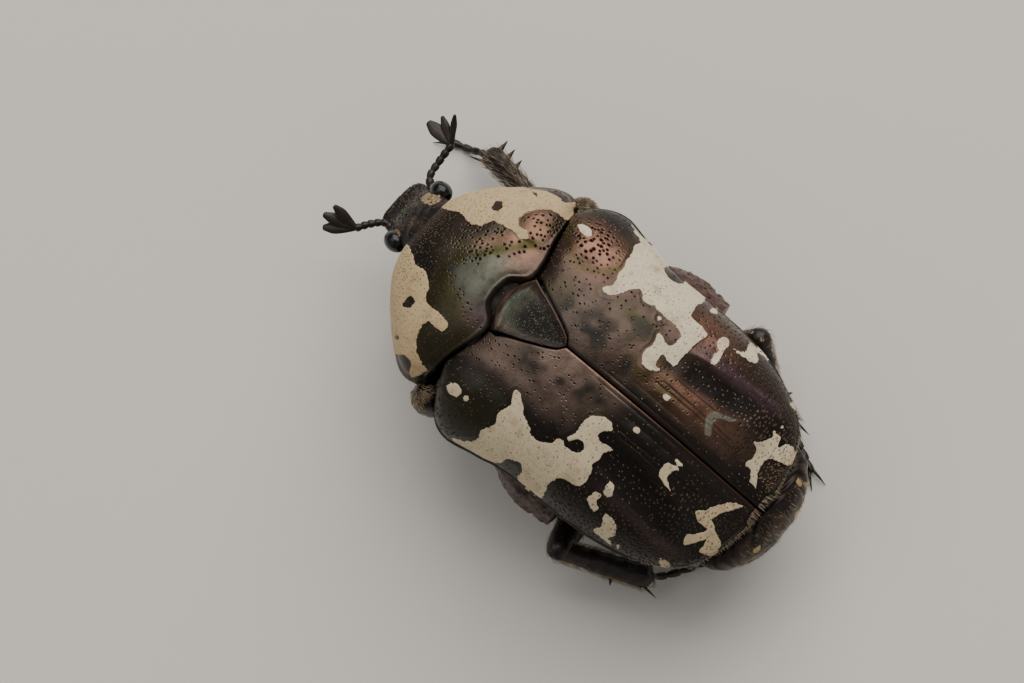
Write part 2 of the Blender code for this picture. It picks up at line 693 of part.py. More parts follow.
def stand_on_floor():
    """Moves everything so that the whole box is centred on the origin, with its lowest point at height 0."""
    meshes = [o.data for o in bpy.data.objects if o.type == "MESH"]
    points = np.array([v.co for mesh in meshes for v in mesh.vertices])
    low, high = points.min(axis=0), points.max(axis=0)
    middle = (low + high) / 2
    for mesh in meshes:
        mesh.transform(Matrix.Translation((-middle[0], -middle[1], -low[2])))


def main():
    for old in list(bpy.data.objects):
        bpy.data.objects.remove(old)
    shield = prothorax()
    cases = [wing_case(side) for side in (LEFT, RIGHT)]
    for case in cases:
        clear_of(case, shield)
    middle_plate = scutellum()
    clear_of(middle_plate, shield)
    chest = trunk(THORAX, "thorax")
    join(chest, [shoulder_lobe(side) for side in (LEFT, RIGHT)])
    clear_of(chest, shield, middle_plate, *cases)
    belly = trunk(ABDOMEN, "abdomen", PLATE_STEP)
    clear_of(belly, chest, *cases)
    clear_of(pygidium(), belly, *cases)
    skull = head()
    eyes = [eye(side) for side in (LEFT, RIGHT)]
    clear_of(skull, shield, *eyes)
    for pair, side in LEGS:
        leg(pair, side, [shield] if pair == "front" else [chest, belly])
    for side in (LEFT, RIGHT):
        antenna(side, skull)
    stand_on_floor()


main()
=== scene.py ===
# %% [markdown]
# A flower chafer is a beetle with a hard, glossy coat of plates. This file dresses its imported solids: each
# plate, limb and feeler is made again as a fine mesh from the same few sizes, with its pits, ridges,
# patches and hairs. The frame comes first, because every piece has to lie where the solids are.

# %% Load the frame
import math

import bmesh
import bpy
import numpy as np
from mathutils import Matrix, Vector


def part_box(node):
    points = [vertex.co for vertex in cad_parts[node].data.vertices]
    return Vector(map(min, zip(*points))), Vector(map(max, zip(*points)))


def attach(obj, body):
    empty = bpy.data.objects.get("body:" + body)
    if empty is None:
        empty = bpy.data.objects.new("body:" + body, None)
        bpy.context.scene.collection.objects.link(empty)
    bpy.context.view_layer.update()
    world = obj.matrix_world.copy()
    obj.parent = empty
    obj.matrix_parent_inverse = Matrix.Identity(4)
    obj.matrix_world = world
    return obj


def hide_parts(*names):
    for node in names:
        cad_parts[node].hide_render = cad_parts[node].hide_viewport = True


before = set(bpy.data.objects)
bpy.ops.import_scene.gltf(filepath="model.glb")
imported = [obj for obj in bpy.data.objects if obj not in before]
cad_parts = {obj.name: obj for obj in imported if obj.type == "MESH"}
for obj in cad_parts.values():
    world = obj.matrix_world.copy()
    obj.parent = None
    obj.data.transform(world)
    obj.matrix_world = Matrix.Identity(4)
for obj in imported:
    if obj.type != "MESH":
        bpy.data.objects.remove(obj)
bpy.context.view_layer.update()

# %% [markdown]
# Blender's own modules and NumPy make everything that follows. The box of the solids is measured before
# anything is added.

MM = 0.001
LEFT, RIGHT = 1, -1
SIDE_NAMES = {LEFT: "left", RIGHT: "right"}

# %% [markdown]
# All shapes are worked out in millimetres on the beetle's own axes: x to its left, y from the scutellum's
# tip to the tail, z up from the floor. The wing cases tell where those axes lie in the frame, since their
# widest places are alike on both sides and their last row of sizes is at a known y.

# %% From the beetle's axes to the frame
SHELL_END = 7.80
left_box, right_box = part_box("elytron_left"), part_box("elytron_right")
origin = np.array([(left_box[1].x + right_box[0].x) / 2, left_box[1].y - SHELL_END * MM, 0.0])
print("scutellum tip in the frame, mm", (origin / MM).round(2))


def to_frame(points):
    """Points in the beetle's millimetres, as metres in the frame."""
    return np.asarray(points) * MM + origin


# %% [markdown]
# The camera looks down on the back, tilted a little towards the tail and the left side, so that the last
# plate of the back shows and the head is foreshortened. A long lens keeps the outline true. The same view
# also tells where each marking belongs, because the outlines of the patches were read as seen from there.

# %% The view
VIEW_BACK = Vector((0.052, 0.158, 1.0)).normalized()
VIEW_RIGHT = Vector((-0.634, 0.773, 0.0))
VIEW_RIGHT = (VIEW_RIGHT - VIEW_RIGHT.dot(VIEW_BACK) * VIEW_BACK).normalized()
VIEW_UP = VIEW_BACK.cross(VIEW_RIGHT)
VIEW_TARGET = (0.96, -1.44, 7.15)
LENS, SENSOR, FIELD_MM = 200.0, 36.0, 32.0
VIEW_DISTANCE = FIELD_MM * LENS / SENSOR
CLIP_NEAR, CLIP_FAR = 0.01, 5.0

camera_data = bpy.data.cameras.new("view")
camera_data.lens, camera_data.sensor_width = LENS, SENSOR
camera_data.clip_start, camera_data.clip_end = CLIP_NEAR, CLIP_FAR
camera = bpy.data.objects.new("view", camera_data)
bpy.context.scene.collection.objects.link(camera)
camera_turn = Matrix((VIEW_RIGHT, VIEW_UP, VIEW_BACK)).transposed().to_4x4()
view_target = Vector(to_frame(VIEW_TARGET))
camera.matrix_world = Matrix.Translation(view_target + VIEW_BACK * VIEW_DISTANCE * MM) @ camera_turn
bpy.context.scene.camera = camera

TAILWARD = (Vector((0, 1, 0)) - VIEW_BACK.y * VIEW_BACK).normalized()
RIGHTWARD = VIEW_BACK.cross(TAILWARD)


def as_seen(points):
    """Where points lie as seen: millimetres to the beetle's right of its middle, and towards its tail."""
    ray = np.asarray(points) - np.array(VIEW_TARGET) - np.array(VIEW_BACK) * VIEW_DISTANCE
    scale = VIEW_DISTANCE / -(ray @ np.array(VIEW_BACK))
    across = (ray @ np.array(RIGHTWARD)) * scale - VIEW_TARGET[0]
    along = (ray @ np.array(TAILWARD)) * scale + VIEW_TARGET[1]
    return across, along


print("camera at, mm", [round(v / MM, 1) for v in camera.matrix_world.translation])

# %% [markdown]
# Plates and limbs are lofts: rows of sizes along the body, read from a smooth curve, and a rounded section
# at each row. A section is read again at even steps of its length, so that the mesh is as fine on the steep
# sides as on the flat top, and the pits come out round everywhere.

# %% Rows and sections
FINE = 2000


def spline(a, b, c, d, t):
    """A place between b and c on a smooth curve through four points, for t from 0 to 1."""
    return 0.5 * (2 * b + (c - a) * t + (2 * a - 5 * b + 4 * c - d) * t**2 + (3 * b - a - 3 * c + d) * t**3)


def smooth_rows(rows, count):
    """Reads count rows from a smooth curve through the given rows, which it passes at even steps."""
    rows = np.array(rows, float)
    padded = np.vstack([2 * rows[0] - rows[1], rows, 2 * rows[-1] - rows[-2]])
    place = np.linspace(0, len(rows) - 1, count)
    first = np.minimum(place.astype(int), len(rows) - 2)
    t = (place - first)[:, None]
    a, b, c, d = (padded[first + k] for k in range(4))
    return spline(a, b, c, d, t)


def evenly(curve, count):
    """The points of a curve, read again at even steps along it."""
    steps = np.linalg.norm(np.diff(curve, axis=0), axis=1)
    along = np.concatenate([[0], np.cumsum(steps)])
    place = np.linspace(0, along[-1], count)
    return np.stack([np.interp(place, along, column) for column in curve.T], axis=1)


def fine_rows(rows, count):
    """Rows of a smooth curve at even steps along it."""
    return evenly(smooth_rows(rows, FINE), count)


def section_at(rows, y):
    """The sizes of a lofted body at one y."""
    table = np.array(rows)
    return [np.interp(y, table[:, 0], column) for column in table.T[1:]]


def rounded(angle, power):
    """The two sizes, from 0 to 1, of a rounded quarter at this angle: across and up."""
    angle = np.clip(angle, 0, math.pi / 2)
    return np.sin(angle) ** (2 / power), np.cos(angle) ** (2 / power)


def arch(half, base, crown, power, count):
    """Even points (x, z) of an arch from the left side over the crown to the right side."""
    angle = np.linspace(-math.pi / 2, math.pi / 2, FINE // 4)
    across, up = rounded(abs(angle), power)
    return evenly(np.stack([-np.sign(angle) * half * across, base + (crown - base) * up], axis=1), count)


def bell(value, middle, width):
    """1 at a place, falling smoothly to 0 within about two widths of it."""
    return np.exp(-(((value - middle) / width) ** 2))


def rise(value, low, high):
    """0 below low, 1 above high, and a smooth rise between."""
    t = np.clip((value - low) / (high - low), 0, 1)
    return t * t * (3 - 2 * t)


def spots(table, x, y):
    """A sum of soft round spots: how strong, where across, how wide, where along and how long each is."""
    return sum(share * bell(x, at_x, wide) * bell(y, at_y, long) for share, at_x, wide, at_y, long in table)


print("an arch 1 mm high", arch(1, 0, 1, 2, 5).round(2).tolist())

# %% [markdown]
# A shape here is a dictionary of points, faces and values. Values are numbers on the points that the
# materials read, such as how far inside a patch a point lies. Shapes that touch inside one piece are simply
# put together, as nothing shows where they run into one another.

# %% Shapes from grids
NO_VALUE = {"patch": -1.0}


def grid_faces(rows, columns, closed):
    """Corner numbers of the squares of a grid, whose columns may close into a ring."""
    i, j = np.meshgrid(np.arange(rows - 1), np.arange(columns if closed else columns - 1), indexing="ij")
    k = (j + 1) % columns
    corners = [i * columns + j, i * columns + k, (i + 1) * columns + k, (i + 1) * columns + j]
    return np.stack(corners, axis=-1).reshape(-1, 4)


def ring_shape(grid, values=None):
    """A closed shape from rings of points, with a fan on each end."""
    rows, columns = grid.shape[:2]
    ring = np.arange(columns)
    after = (ring + 1) % columns
    count = rows * columns
    ends = [grid[0].mean(axis=0), grid[-1].mean(axis=0)]
    fans = [np.stack([start + after, start + ring, np.full(columns, count + k)], axis=1)
            for k, start in enumerate((0, count - columns))]
    flat = {key: np.ravel(value) for key, value in (values or {}).items()}
    padded = {key: np.append(value, [value[0], value[-1]]) for key, value in flat.items()}
    points = np.concatenate([grid.reshape(-1, 3), ends])
    return {"points": points, "faces": [grid_faces(rows, columns, True), *fans], "values": padded}


def plate_shape(top, thickness, values):
    """A closed plate under an open grid of points, as thick as given."""
    rows, columns = top.shape[:2]
    numbers = np.arange(rows * columns).reshape(rows, columns)
    rim = np.concatenate([numbers[0, :-1], numbers[:-1, -1], numbers[-1, :0:-1], numbers[:0:-1, 0]])
    ahead = np.roll(rim, -1)
    below = rows * columns
    sheet = grid_faces(rows, columns, False)
    points = np.concatenate([top.reshape(-1, 3), top.reshape(-1, 3) - (0, 0, thickness)])
    walls = np.stack([rim, ahead, ahead + below, rim + below], axis=1)
    doubled = {key: np.tile(np.ravel(v), 2) for key, v in values.items()}
    return {"points": points, "faces": [sheet, sheet[:, ::-1] + below, walls], "values": doubled}


def together(shapes):
    """Several shapes as one."""
    counts = [len(shape["points"]) for shape in shapes]
    starts = np.cumsum([0] + counts)
    faces = [face + start for shape, start in zip(shapes, starts) for face in shape["faces"]]
    values = {}
    for key in sorted(set(NO_VALUE).union(*(shape["values"] for shape in shapes))):
        bare = [np.full(count, NO_VALUE.get(key, 0.0)) for count in counts]
        values[key] = np.concatenate([shape["values"].get(key, b) for shape, b in zip(shapes, bare)])
    points = np.concatenate([shape["points"] for shape in shapes])
    return {"points": points, "faces": faces, "values": values}


def normals_of(grid, closed):
    """Unit normals of a grid of points. They point up or away from the middle line."""
    along = np.gradient(grid, axis=0)
    if closed:
        wrapped = np.concatenate([grid[:, -1:], grid, grid[:, :1]], axis=1)
        across = (wrapped[:, 2:] - wrapped[:, :-2]) / 2
    else:
        across = np.gradient(grid, axis=1)
    normal = np.cross(across, along)
    normal /= np.maximum(np.linalg.norm(normal, axis=2, keepdims=True), 1e-9)
    outward = grid - grid.mean(axis=1, keepdims=True) if closed else np.array([0.0, 0.0, 1.0])
    return normal if np.sum(normal * outward) > 0 else -normal


print("squares between 3 x 4 points", len(grid_faces(3, 4, False)), "and closed", len(grid_faces(3, 4, True)))

# %% [markdown]
# One function turns a shape into a piece: it goes on the body, takes the place of its solids and names the
# finish it belongs to. The arrays go in through foreach_set, which stays quick for a hundred thousand
# faces.

# %% Make a piece
def add_piece(name, shapes, material, nodes=()):
    """A smooth mesh piece in the frame, which stands for the named nodes."""
    shape = together(shapes)
    mesh = bpy.data.meshes.new(name)
    corners = np.concatenate([face.ravel() for face in shape["faces"]])
    sizes = np.concatenate([np.full(len(face), face.shape[1]) for face in shape["faces"]])
    mesh.vertices.add(len(shape["points"]))
    mesh.vertices.foreach_set("co", to_frame(shape["points"]).ravel())
    mesh.loops.add(len(corners))
    mesh.loops.foreach_set("vertex_index", corners)
    mesh.polygons.add(len(sizes))
    mesh.polygons.foreach_set("loop_start", np.concatenate([[0], np.cumsum(sizes)[:-1]]))
    mesh.update(calc_edges=True)
    for key, value in shape["values"].items():
        layer = mesh.attributes.new(key, "FLOAT", "POINT")
        layer.data.foreach_set("value", np.asarray(value, np.float32))
    loose = bmesh.new()
    loose.from_mesh(mesh)
    bmesh.ops.recalc_face_normals(loose, faces=loose.faces)
    loose.to_mesh(mesh)
    loose.free()
    mesh.shade_smooth()
    mesh.materials.append(material)
    piece = bpy.data.objects.new(name, mesh)
    bpy.context.scene.collection.objects.link(piece)
    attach(piece, "root")
    if nodes:
        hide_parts(*nodes)
    print(f"{name}: {len(mesh.polygons)} faces")
    return piece


# %% [markdown]
# Materials are written as sums. This class wraps a shader socket, so that 1 - mask * 0.5 adds its Math
# nodes, and one method on the material makes every other node from its type, its settings and its inputs.

# %% Shader sums
class Value:
    """A number, colour or vector that varies over a surface, with arithmetic on numbers."""

    def __init__(self, paint, socket):
        self.paint, self.socket = paint, socket

    def math(self, operation, *terms):
        """The result of one Math node."""
        return self.paint.node("ShaderNodeMath", {"operation": operation}, terms)

    def __add__(self, other):
        return self.math("ADD", self, other)

    def __sub__(self, other):
        return self.math("SUBTRACT", self, other)

    def __rsub__(self, other):
        return self.math("SUBTRACT", other, self)

    def __mul__(self, other):
        return self.math("MULTIPLY", self, other)

    __radd__, __rmul__ = __add__, __mul__

    def step(self, low, high):
        """0 below low, 1 above high, and a smooth rise between."""
        settings = {"interpolation_type": "SMOOTHSTEP"}
        return self.paint.node("ShaderNodeMapRange", settings, (self, low, high, 0.0, 1.0))


class Paint:
    """One material and its nodes."""

    def __init__(self, name):
        self.material = bpy.data.materials.new(name)
        self.material.use_nodes = True
        self.tree = self.material.node_tree
        self.surface = self.tree.nodes["Principled BSDF"]

    def node(self, kind, settings=None, inputs=(), output=0):
        """Adds a node, sets it up, fills its sockets in order or by name, and gives one output."""
        made = self.tree.nodes.new(kind)
        for key, value in (settings or {}).items():
            setattr(made, key, value)
        pairs = inputs.items() if isinstance(inputs, dict) else enumerate(inputs)
        for key, value in pairs:
            self.fill(made.inputs[key], value)
        return Value(self, made.outputs[output])

    def fill(self, socket, value):
        """Links a value to a socket, or sets the socket to a plain number or colour."""
        if isinstance(value, Value):
            self.tree.links.new(value.socket, socket)
        else:
            socket.default_value = value

    def set(self, **inputs):
        """Sets sockets of the surface shader, whose names have _ for a space."""
        for key, value in inputs.items():
            self.fill(self.surface.inputs[key.replace("_", " ")], value)
        return self.material

    def read(self, name):
        """A value kept on the mesh's points."""
        return self.node("ShaderNodeAttribute", {"attribute_name": name}, output="Fac")

    def place(self, stretch=(1.0, 1.0, 1.0)):
        """Object coordinates in millimetres, stretched."""
        spot = self.node("ShaderNodeTexCoord", output="Object")
        per_metre = tuple(s / MM for s in stretch)
        return self.node("ShaderNodeVectorMath", {"operation": "MULTIPLY"}, (spot, per_metre))

    def noise(self, scale, detail=3.0, rough=0.55, stretch=(1.0, 1.0, 1.0)):
        """Noise from 0 to 1, whose scale is features in a millimetre."""
        inputs = {"Vector": self.place(stretch), "Scale": scale, "Detail": detail, "Roughness": rough}
        return self.node("ShaderNodeTexNoise", None, inputs)

    def mix(self, share, first, second):
        """A colour between two others."""
        return self.node("ShaderNodeMix", {"data_type": "RGBA"}, {0: share, 6: first, 7: second}, output=2)

    def bump(self, height, distance_mm):
        """A normal from a height, whose full range is this many millimetres."""
        return self.node("ShaderNodeBump", None, {"Distance": distance_mm * MM, "Height": height})


# %% [markdown]
# The cuticle is dark bronze with a satin gloss: nearly black where it mirrors nothing, partly as painted
# shade, and pinkish grey where it mirrors the lamp, partly as a painted reflection. It is olive in front,
# grey-green with a painted sheen on the smooth part of the pronotum and purple on ridges, as a painted
# reflection. Pits are painted black, as shade, in pale places and gold, as glints of light, in dark ones.
# The patches are a matt, chalky layer on top, with a fine dark dot at each pit. The mesh says how far inside
# a patch each point is.

# %% The finish of the back
def rgb(red, green, blue):
    """A linear colour from the 0 to 255 numbers that a colour picker shows."""
    def linear(v):
        v /= 255
        return v / 12.92 if v <= 0.04045 else ((v + 0.055) / 1.055) ** 2.4
    return (linear(red), linear(green), linear(blue), 1.0)


BRONZE, ROSE_SHEEN = rgb(72, 59, 53), rgb(146, 106, 90)
OLIVE, PURPLE, GREY_GREEN = rgb(64, 60, 10), rgb(108, 84, 92), rgb(98, 102, 90)
BLACK, COPPER, GOLD = rgb(18, 14, 11), rgb(178, 122, 96), rgb(140, 110, 86)
IVORY, TAN, STAIN = rgb(236, 226, 198), rgb(196, 168, 120), rgb(150, 122, 88)
PIT_SHADE_BLACK, SPECK, ARCH_GREY = rgb(12, 9, 8), rgb(34, 26, 20), rgb(122, 118, 106)
DUST = rgb(128, 130, 112)
CUTICLE_METAL, CUTICLE_COAT, CUTICLE_ROUGHNESS = 0.85, 0.14, 0.28
CHALK_ROUGHNESS, DUST_ROUGHNESS = 0.34, 0.22
CHALK_STAINS = [(1.8, 5.0, 0.65, 0.48, 0.75, 0.5), (9.0, 4.0, 0.7, 0.45, 0.8, 0.6),
                (21.0, 2.0, 0.55, 0.62, 0.70, 0.5)]
# Of the values these mix in, dark is partly painted shade, rosy is a painted sheen, grey and purple are
# partly painted sheen and reflection, and copper is partly a painted highlight.
BACK_COLOURS = {
    "grey": (0.85, GREY_GREEN), "rosy": (0.75, ROSE_SHEEN), "olive": (0.95, OLIVE), "purple": (0.75, PURPLE),
    "dark": (0.97, BLACK), "copper": (1.0, COPPER), "arch": (1.0, ARCH_GREY),
}


def back_paint():
    """Glossy bronze plates with chalky patches and pits, as the values on the mesh say."""
    paint = Paint("chafer_back")
    colour = BRONZE
    for name, (share, tint) in BACK_COLOURS.items():
        colour = paint.mix(paint.read(name) * share, colour, tint)
    streaks = paint.noise(2.6, 6.0, 0.7).step(0.46, 0.74)
    colour = paint.mix(streaks * 0.5, colour, BLACK)
    dust = paint.noise(14.0, 2.0).step(0.62, 0.78)
    colour = paint.mix(dust * 0.22, colour, GOLD)
    matt = paint.read("matt")
    colour = paint.mix(paint.noise(17.0, 2.0).step(0.56, 0.68) * matt * 0.5, colour, DUST)
    # Pits are painted: black, as shade, in pale places and gold, as a glint of light, in dark ones.
    pit = paint.read("pit")
    pit_shade_and_glint = paint.mix(paint.read("dark").step(0.3, 0.7), PIT_SHADE_BLACK, GOLD)
    colour = paint.mix(pit.step(0.2, 0.6), colour, pit_shade_and_glint)
    wavy = (paint.noise(5.5, 3.0, 0.6) - 0.5) * 0.17
    inside = (paint.read("patch") + wavy).step(-0.006, 0.008)
    chalk = paint.mix(paint.read("tone"), IVORY, TAN)
    for scale, detail, uneven, low, high, share in CHALK_STAINS:
        chalk = paint.mix(paint.noise(scale, detail, uneven).step(low, high) * share, chalk, STAIN)
    chalk = paint.mix(pit.step(0.10, 0.5) * 0.9, chalk, SPECK)
    grain = paint.noise(34.0, 2.0)
    height = grain * 0.3 + inside * 0.9 + paint.noise(7.0, 3.0) * 0.5
    dark, bare = paint.read("dark"), 1 - inside
    rough = paint.noise(4.0).step(0.3, 0.8) * 0.10 + CUTICLE_ROUGHNESS
    rough = rough + paint.read("grey") * 0.08 + dark * 0.06
    metal = CUTICLE_METAL - paint.read("olive") * 0.2 - dark * 0.55 - paint.read("arch") * 0.4
    paint.surface.inputs["Coat Roughness"].default_value = 0.22
    paint.surface.inputs["Specular IOR Level"].default_value = 0.35
    return paint.set(
        Base_Color=paint.mix(inside, colour, chalk),
        Metallic=bare * metal,
        Roughness=rough + inside * CHALK_ROUGHNESS + matt * DUST_ROUGHNESS,
        Coat_Weight=bare * (1 - matt) * (1 - dark) * CUTICLE_COAT,
        Normal=paint.bump(height, 0.014),
    )


back_finish = back_paint()
print("finish", back_finish.name)

# %% [markdown]
# The underside and the limbs are darker and browner, with less gloss and without the metal. The eyes are
# black and wet-looking, with a fine net of facets. The hairs are pale straw.

# %% The other finishes
LIMB_DARK, LIMB_BROWN = rgb(22, 17, 15), rgb(50, 37, 30)
BODY_DARK, BODY_BRONZE, LEDGE_ROSE_SHEEN = rgb(26, 21, 18), rgb(74, 60, 52), rgb(104, 74, 68)
EYE_BLACK, EYE_BLUE = rgb(12, 12, 16), rgb(20, 22, 30)
HAIR_PALE, HAIR_TAN = rgb(178, 160, 124), rgb(120, 96, 66)
SCALE_TAN = rgb(178, 152, 118)
FLOOR_PALE, FLOOR_GREY = rgb(236, 233, 228), rgb(222, 219, 212)


def plain_cuticle(name, dark, light, metallic, roughness):
    """Brown cuticle with a fine grain, and pale patches where the mesh says so."""
    paint = Paint(name)
    grain = paint.noise(26.0, 3.0)
    colour = paint.mix(paint.noise(1.6, 4.0).step(0.35, 0.75), dark, light)
    scaly = paint.noise(9.0, 3.0).step(0.35, 0.6) * 0.5 + 0.5
    # The rose tint of the ledge, partly a painted sheen.
    colour = paint.mix(paint.read("purple") * scaly, colour, LEDGE_ROSE_SHEEN)
    # Pits are painted black, as shade.
    colour = paint.mix(paint.read("pit").step(0.2, 0.7), colour, PIT_SHADE_BLACK)
    inside = (paint.read("patch") + (paint.noise(9.0, 3.0) - 0.5) * 0.14).step(-0.02, 0.02)
    scales = paint.noise(15.0, 3.0).step(0.36, 0.6) * inside
    return paint.set(
        Base_Color=paint.mix(scales, colour, SCALE_TAN),
        Metallic=(1 - inside) * metallic,
        Roughness=grain * 0.16 + roughness + inside * 0.3,
        Coat_Weight=(1 - inside) * 0.2,
        Normal=paint.bump(grain + inside, 0.010),
    )


def eye_paint():
    """Black facets under a clear gloss."""
    paint = Paint("chafer_eye")
    cells = paint.node("ShaderNodeTexVoronoi", None, {"Vector": paint.place(), "Scale": 34.0})
    paint.surface.inputs["Coat Roughness"].default_value = 0.04
    paint.surface.inputs["Coat IOR"].default_value = 1.3
    paint.surface.inputs["Specular IOR Level"].default_value = 0.25
    tint = paint.mix(cells.step(0.0, 0.7), EYE_BLUE, EYE_BLACK)
    return paint.set(Base_Color=tint, Roughness=0.16, Coat_Weight=1.0, Normal=paint.bump(cells, 0.004))


def hair_paint():
    """Straw-coloured hairs, paler and browner from place to place."""
    paint = Paint("chafer_hair")
    colour = paint.mix(paint.noise(3.0).step(0.35, 0.65), HAIR_PALE, HAIR_TAN)
    paint.surface.inputs["Sheen Weight"].default_value = 0.2
    return paint.set(Base_Color=colour, Roughness=0.45)


def floor_paint():
    """A plain pale studio floor."""
    paint = Paint("studio_floor")
    speckle = paint.noise(0.4, 2.0)
    return paint.set(Base_Color=paint.mix(speckle * 0.06, FLOOR_PALE, FLOOR_GREY), Roughness=0.85)


body_finish = plain_cuticle("chafer_body", BODY_DARK, BODY_BRONZE, 0.6, 0.30)
limb_finish = plain_cuticle("chafer_limb", LIMB_DARK, LIMB_BROWN, 0.35, 0.30)
eye_finish, hair_finish = eye_paint(), hair_paint()
print("finishes", [m.name for m in bpy.data.materials if m.name.startswith("chafer")])

# %% [markdown]
# Chalky patches are what names this beetle from a step away. Each is drawn once as a closed outline in
# millimetres as seen from above, x to the beetle's right and y towards its tail. A smooth curve runs
# through the points, and every point of a plate gets its distance to the nearest outline, more than 0
# inside. Small spots are ovals, and holes in a patch are ovals too.

# %% Distances to outlines
FAR = 9.0


def closed_curve(points, per_step=4):
    """A smooth closed curve through the points."""
    here = np.array(points, float)
    a, b, c, d = np.roll(here, 1, axis=0), here, np.roll(here, -1, axis=0), np.roll(here, -2, axis=0)
    t = (np.arange(per_step) / per_step)[:, None, None]
    return spline(a, b, c, d, t).transpose(1, 0, 2).reshape(-1, 2)


def depth_in_outline(points, across, along):
    """How far inside a closed outline each place lies, in millimetres, and less than nothing outside."""
    curve = closed_curve(points)
    depth = np.full(across.shape, -FAR)
    low, high = curve.min(axis=0) - 0.3, curve.max(axis=0) + 0.3
    near = (across > low[0]) & (across < high[0]) & (along > low[1]) & (along < high[1])
    x, y = across[near], along[near]
    nearest = np.full(x.shape, FAR**2)
    odd = np.zeros(x.shape, bool)
    for (ax, ay), (bx, by) in zip(curve, np.roll(curve, -1, axis=0)):
        dx, dy = bx - ax, by - ay
        t = np.clip(((x - ax) * dx + (y - ay) * dy) / max(dx * dx + dy * dy, 1e-9), 0, 1)
        nearest = np.minimum(nearest, (x - ax - t * dx) ** 2 + (y - ay - t * dy) ** 2)
        if dy:
            odd ^= ((ay > y) != (by > y)) & (x < ax + (y - ay) * dx / dy)
    depth[near] = np.sqrt(nearest) * np.where(odd, 1, -1)
    return depth


def depth_in_oval(oval, across, along):
    """How far inside an oval (x, y, half width, half length) each place lies."""
    x, y, half_width, half_length = oval
    share = np.hypot((across - x) / half_width, (along - y) / half_length)
    return (1 - share) * min(half_width, half_length)


def patch_depth(points, outlines, ovals, holes):
    """Distance into the nearest patch for each point of a grid."""
    across, along = as_seen(points)
    depth = np.full(across.shape, -FAR)
    for outline in outlines:
        depth = np.maximum(depth, depth_in_outline(outline, across, along))
    for oval in ovals:
        depth = np.maximum(depth, depth_in_oval(oval, across, along))
    for hole in holes:
        depth = np.minimum(depth, -depth_in_oval(hole, across, along))
    return depth


print("corners of a curve through 3 points", len(closed_curve([(0, 0), (1, 0), (0, 1)])))

# %% [markdown]
# The shield behind the head, the pronotum, has a long patch down each side, and each patch has dark holes.

# %% Outlines of the pronotum's patches
PRONOTUM_OUTLINES = [
    [(-0.72, -5.93), (-0.78, -5.66), (-1.0, -5.27), (-1.0, -4.93), (-1.22, -4.6), (-1.56, -4.43),
     (-1.72, -4.27), (-1.72, -3.99), (-1.74, -3.49), (-1.89, -3.27), (-2.11, -3.32), (-2.14, -3.54),
     (-2.17, -3.88), (-2.56, -3.88), (-2.89, -3.71), (-3.11, -3.49), (-3.28, -3.16), (-3.28, -2.93),
     (-3.61, -2.99), (-3.83, -3.16), (-3.72, -3.32), (-3.5, -3.43), (-3.42, -3.71), (-3.56, -3.95),
     (-3.75, -4.2), (-3.5, -4.55), (-2.9, -5.0), (-2.11, -5.55), (-1.56, -5.85), (-1.11, -6.1)],
    [(0.89, -5.77), (1.0, -5.54), (1.11, -5.16), (1.06, -4.82), (1.22, -4.49), (1.56, -4.32), (1.67, -3.93),
     (1.72, -3.54), (1.67, -3.32), (1.83, -3.07), (2.0, -3.27), (1.94, -3.54), (2.17, -3.71), (2.5, -3.6),
     (2.89, -3.27), (3.02, -2.99), (3.06, -2.49), (3.44, -2.54), (3.63, -2.71), (3.44, -2.93),
     (3.44, -3.27), (3.28, -3.71), (3.0, -4.16), (2.62, -4.72), (2.3, -5.15), (1.9, -5.6), (1.4, -5.95),
     (1.0, -6.1)],
]
PRONOTUM_HOLES = [(-2.06, -4.71, 0.19, 0.15), (-3.14, -4.27, 0.06, 0.09), (2.02, -4.47, 0.20, 0.14),
                  (3.05, -3.8, 0.04, 0.16)]

print("outlines of the pronotum", len(PRONOTUM_OUTLINES))

# %% [markdown]
# A wing case has one large patch that reaches from its rim to its middle, and small marks towards the tail.
# The two sides of a living beetle differ, so each has outlines of its own instead of a mirrored copy.

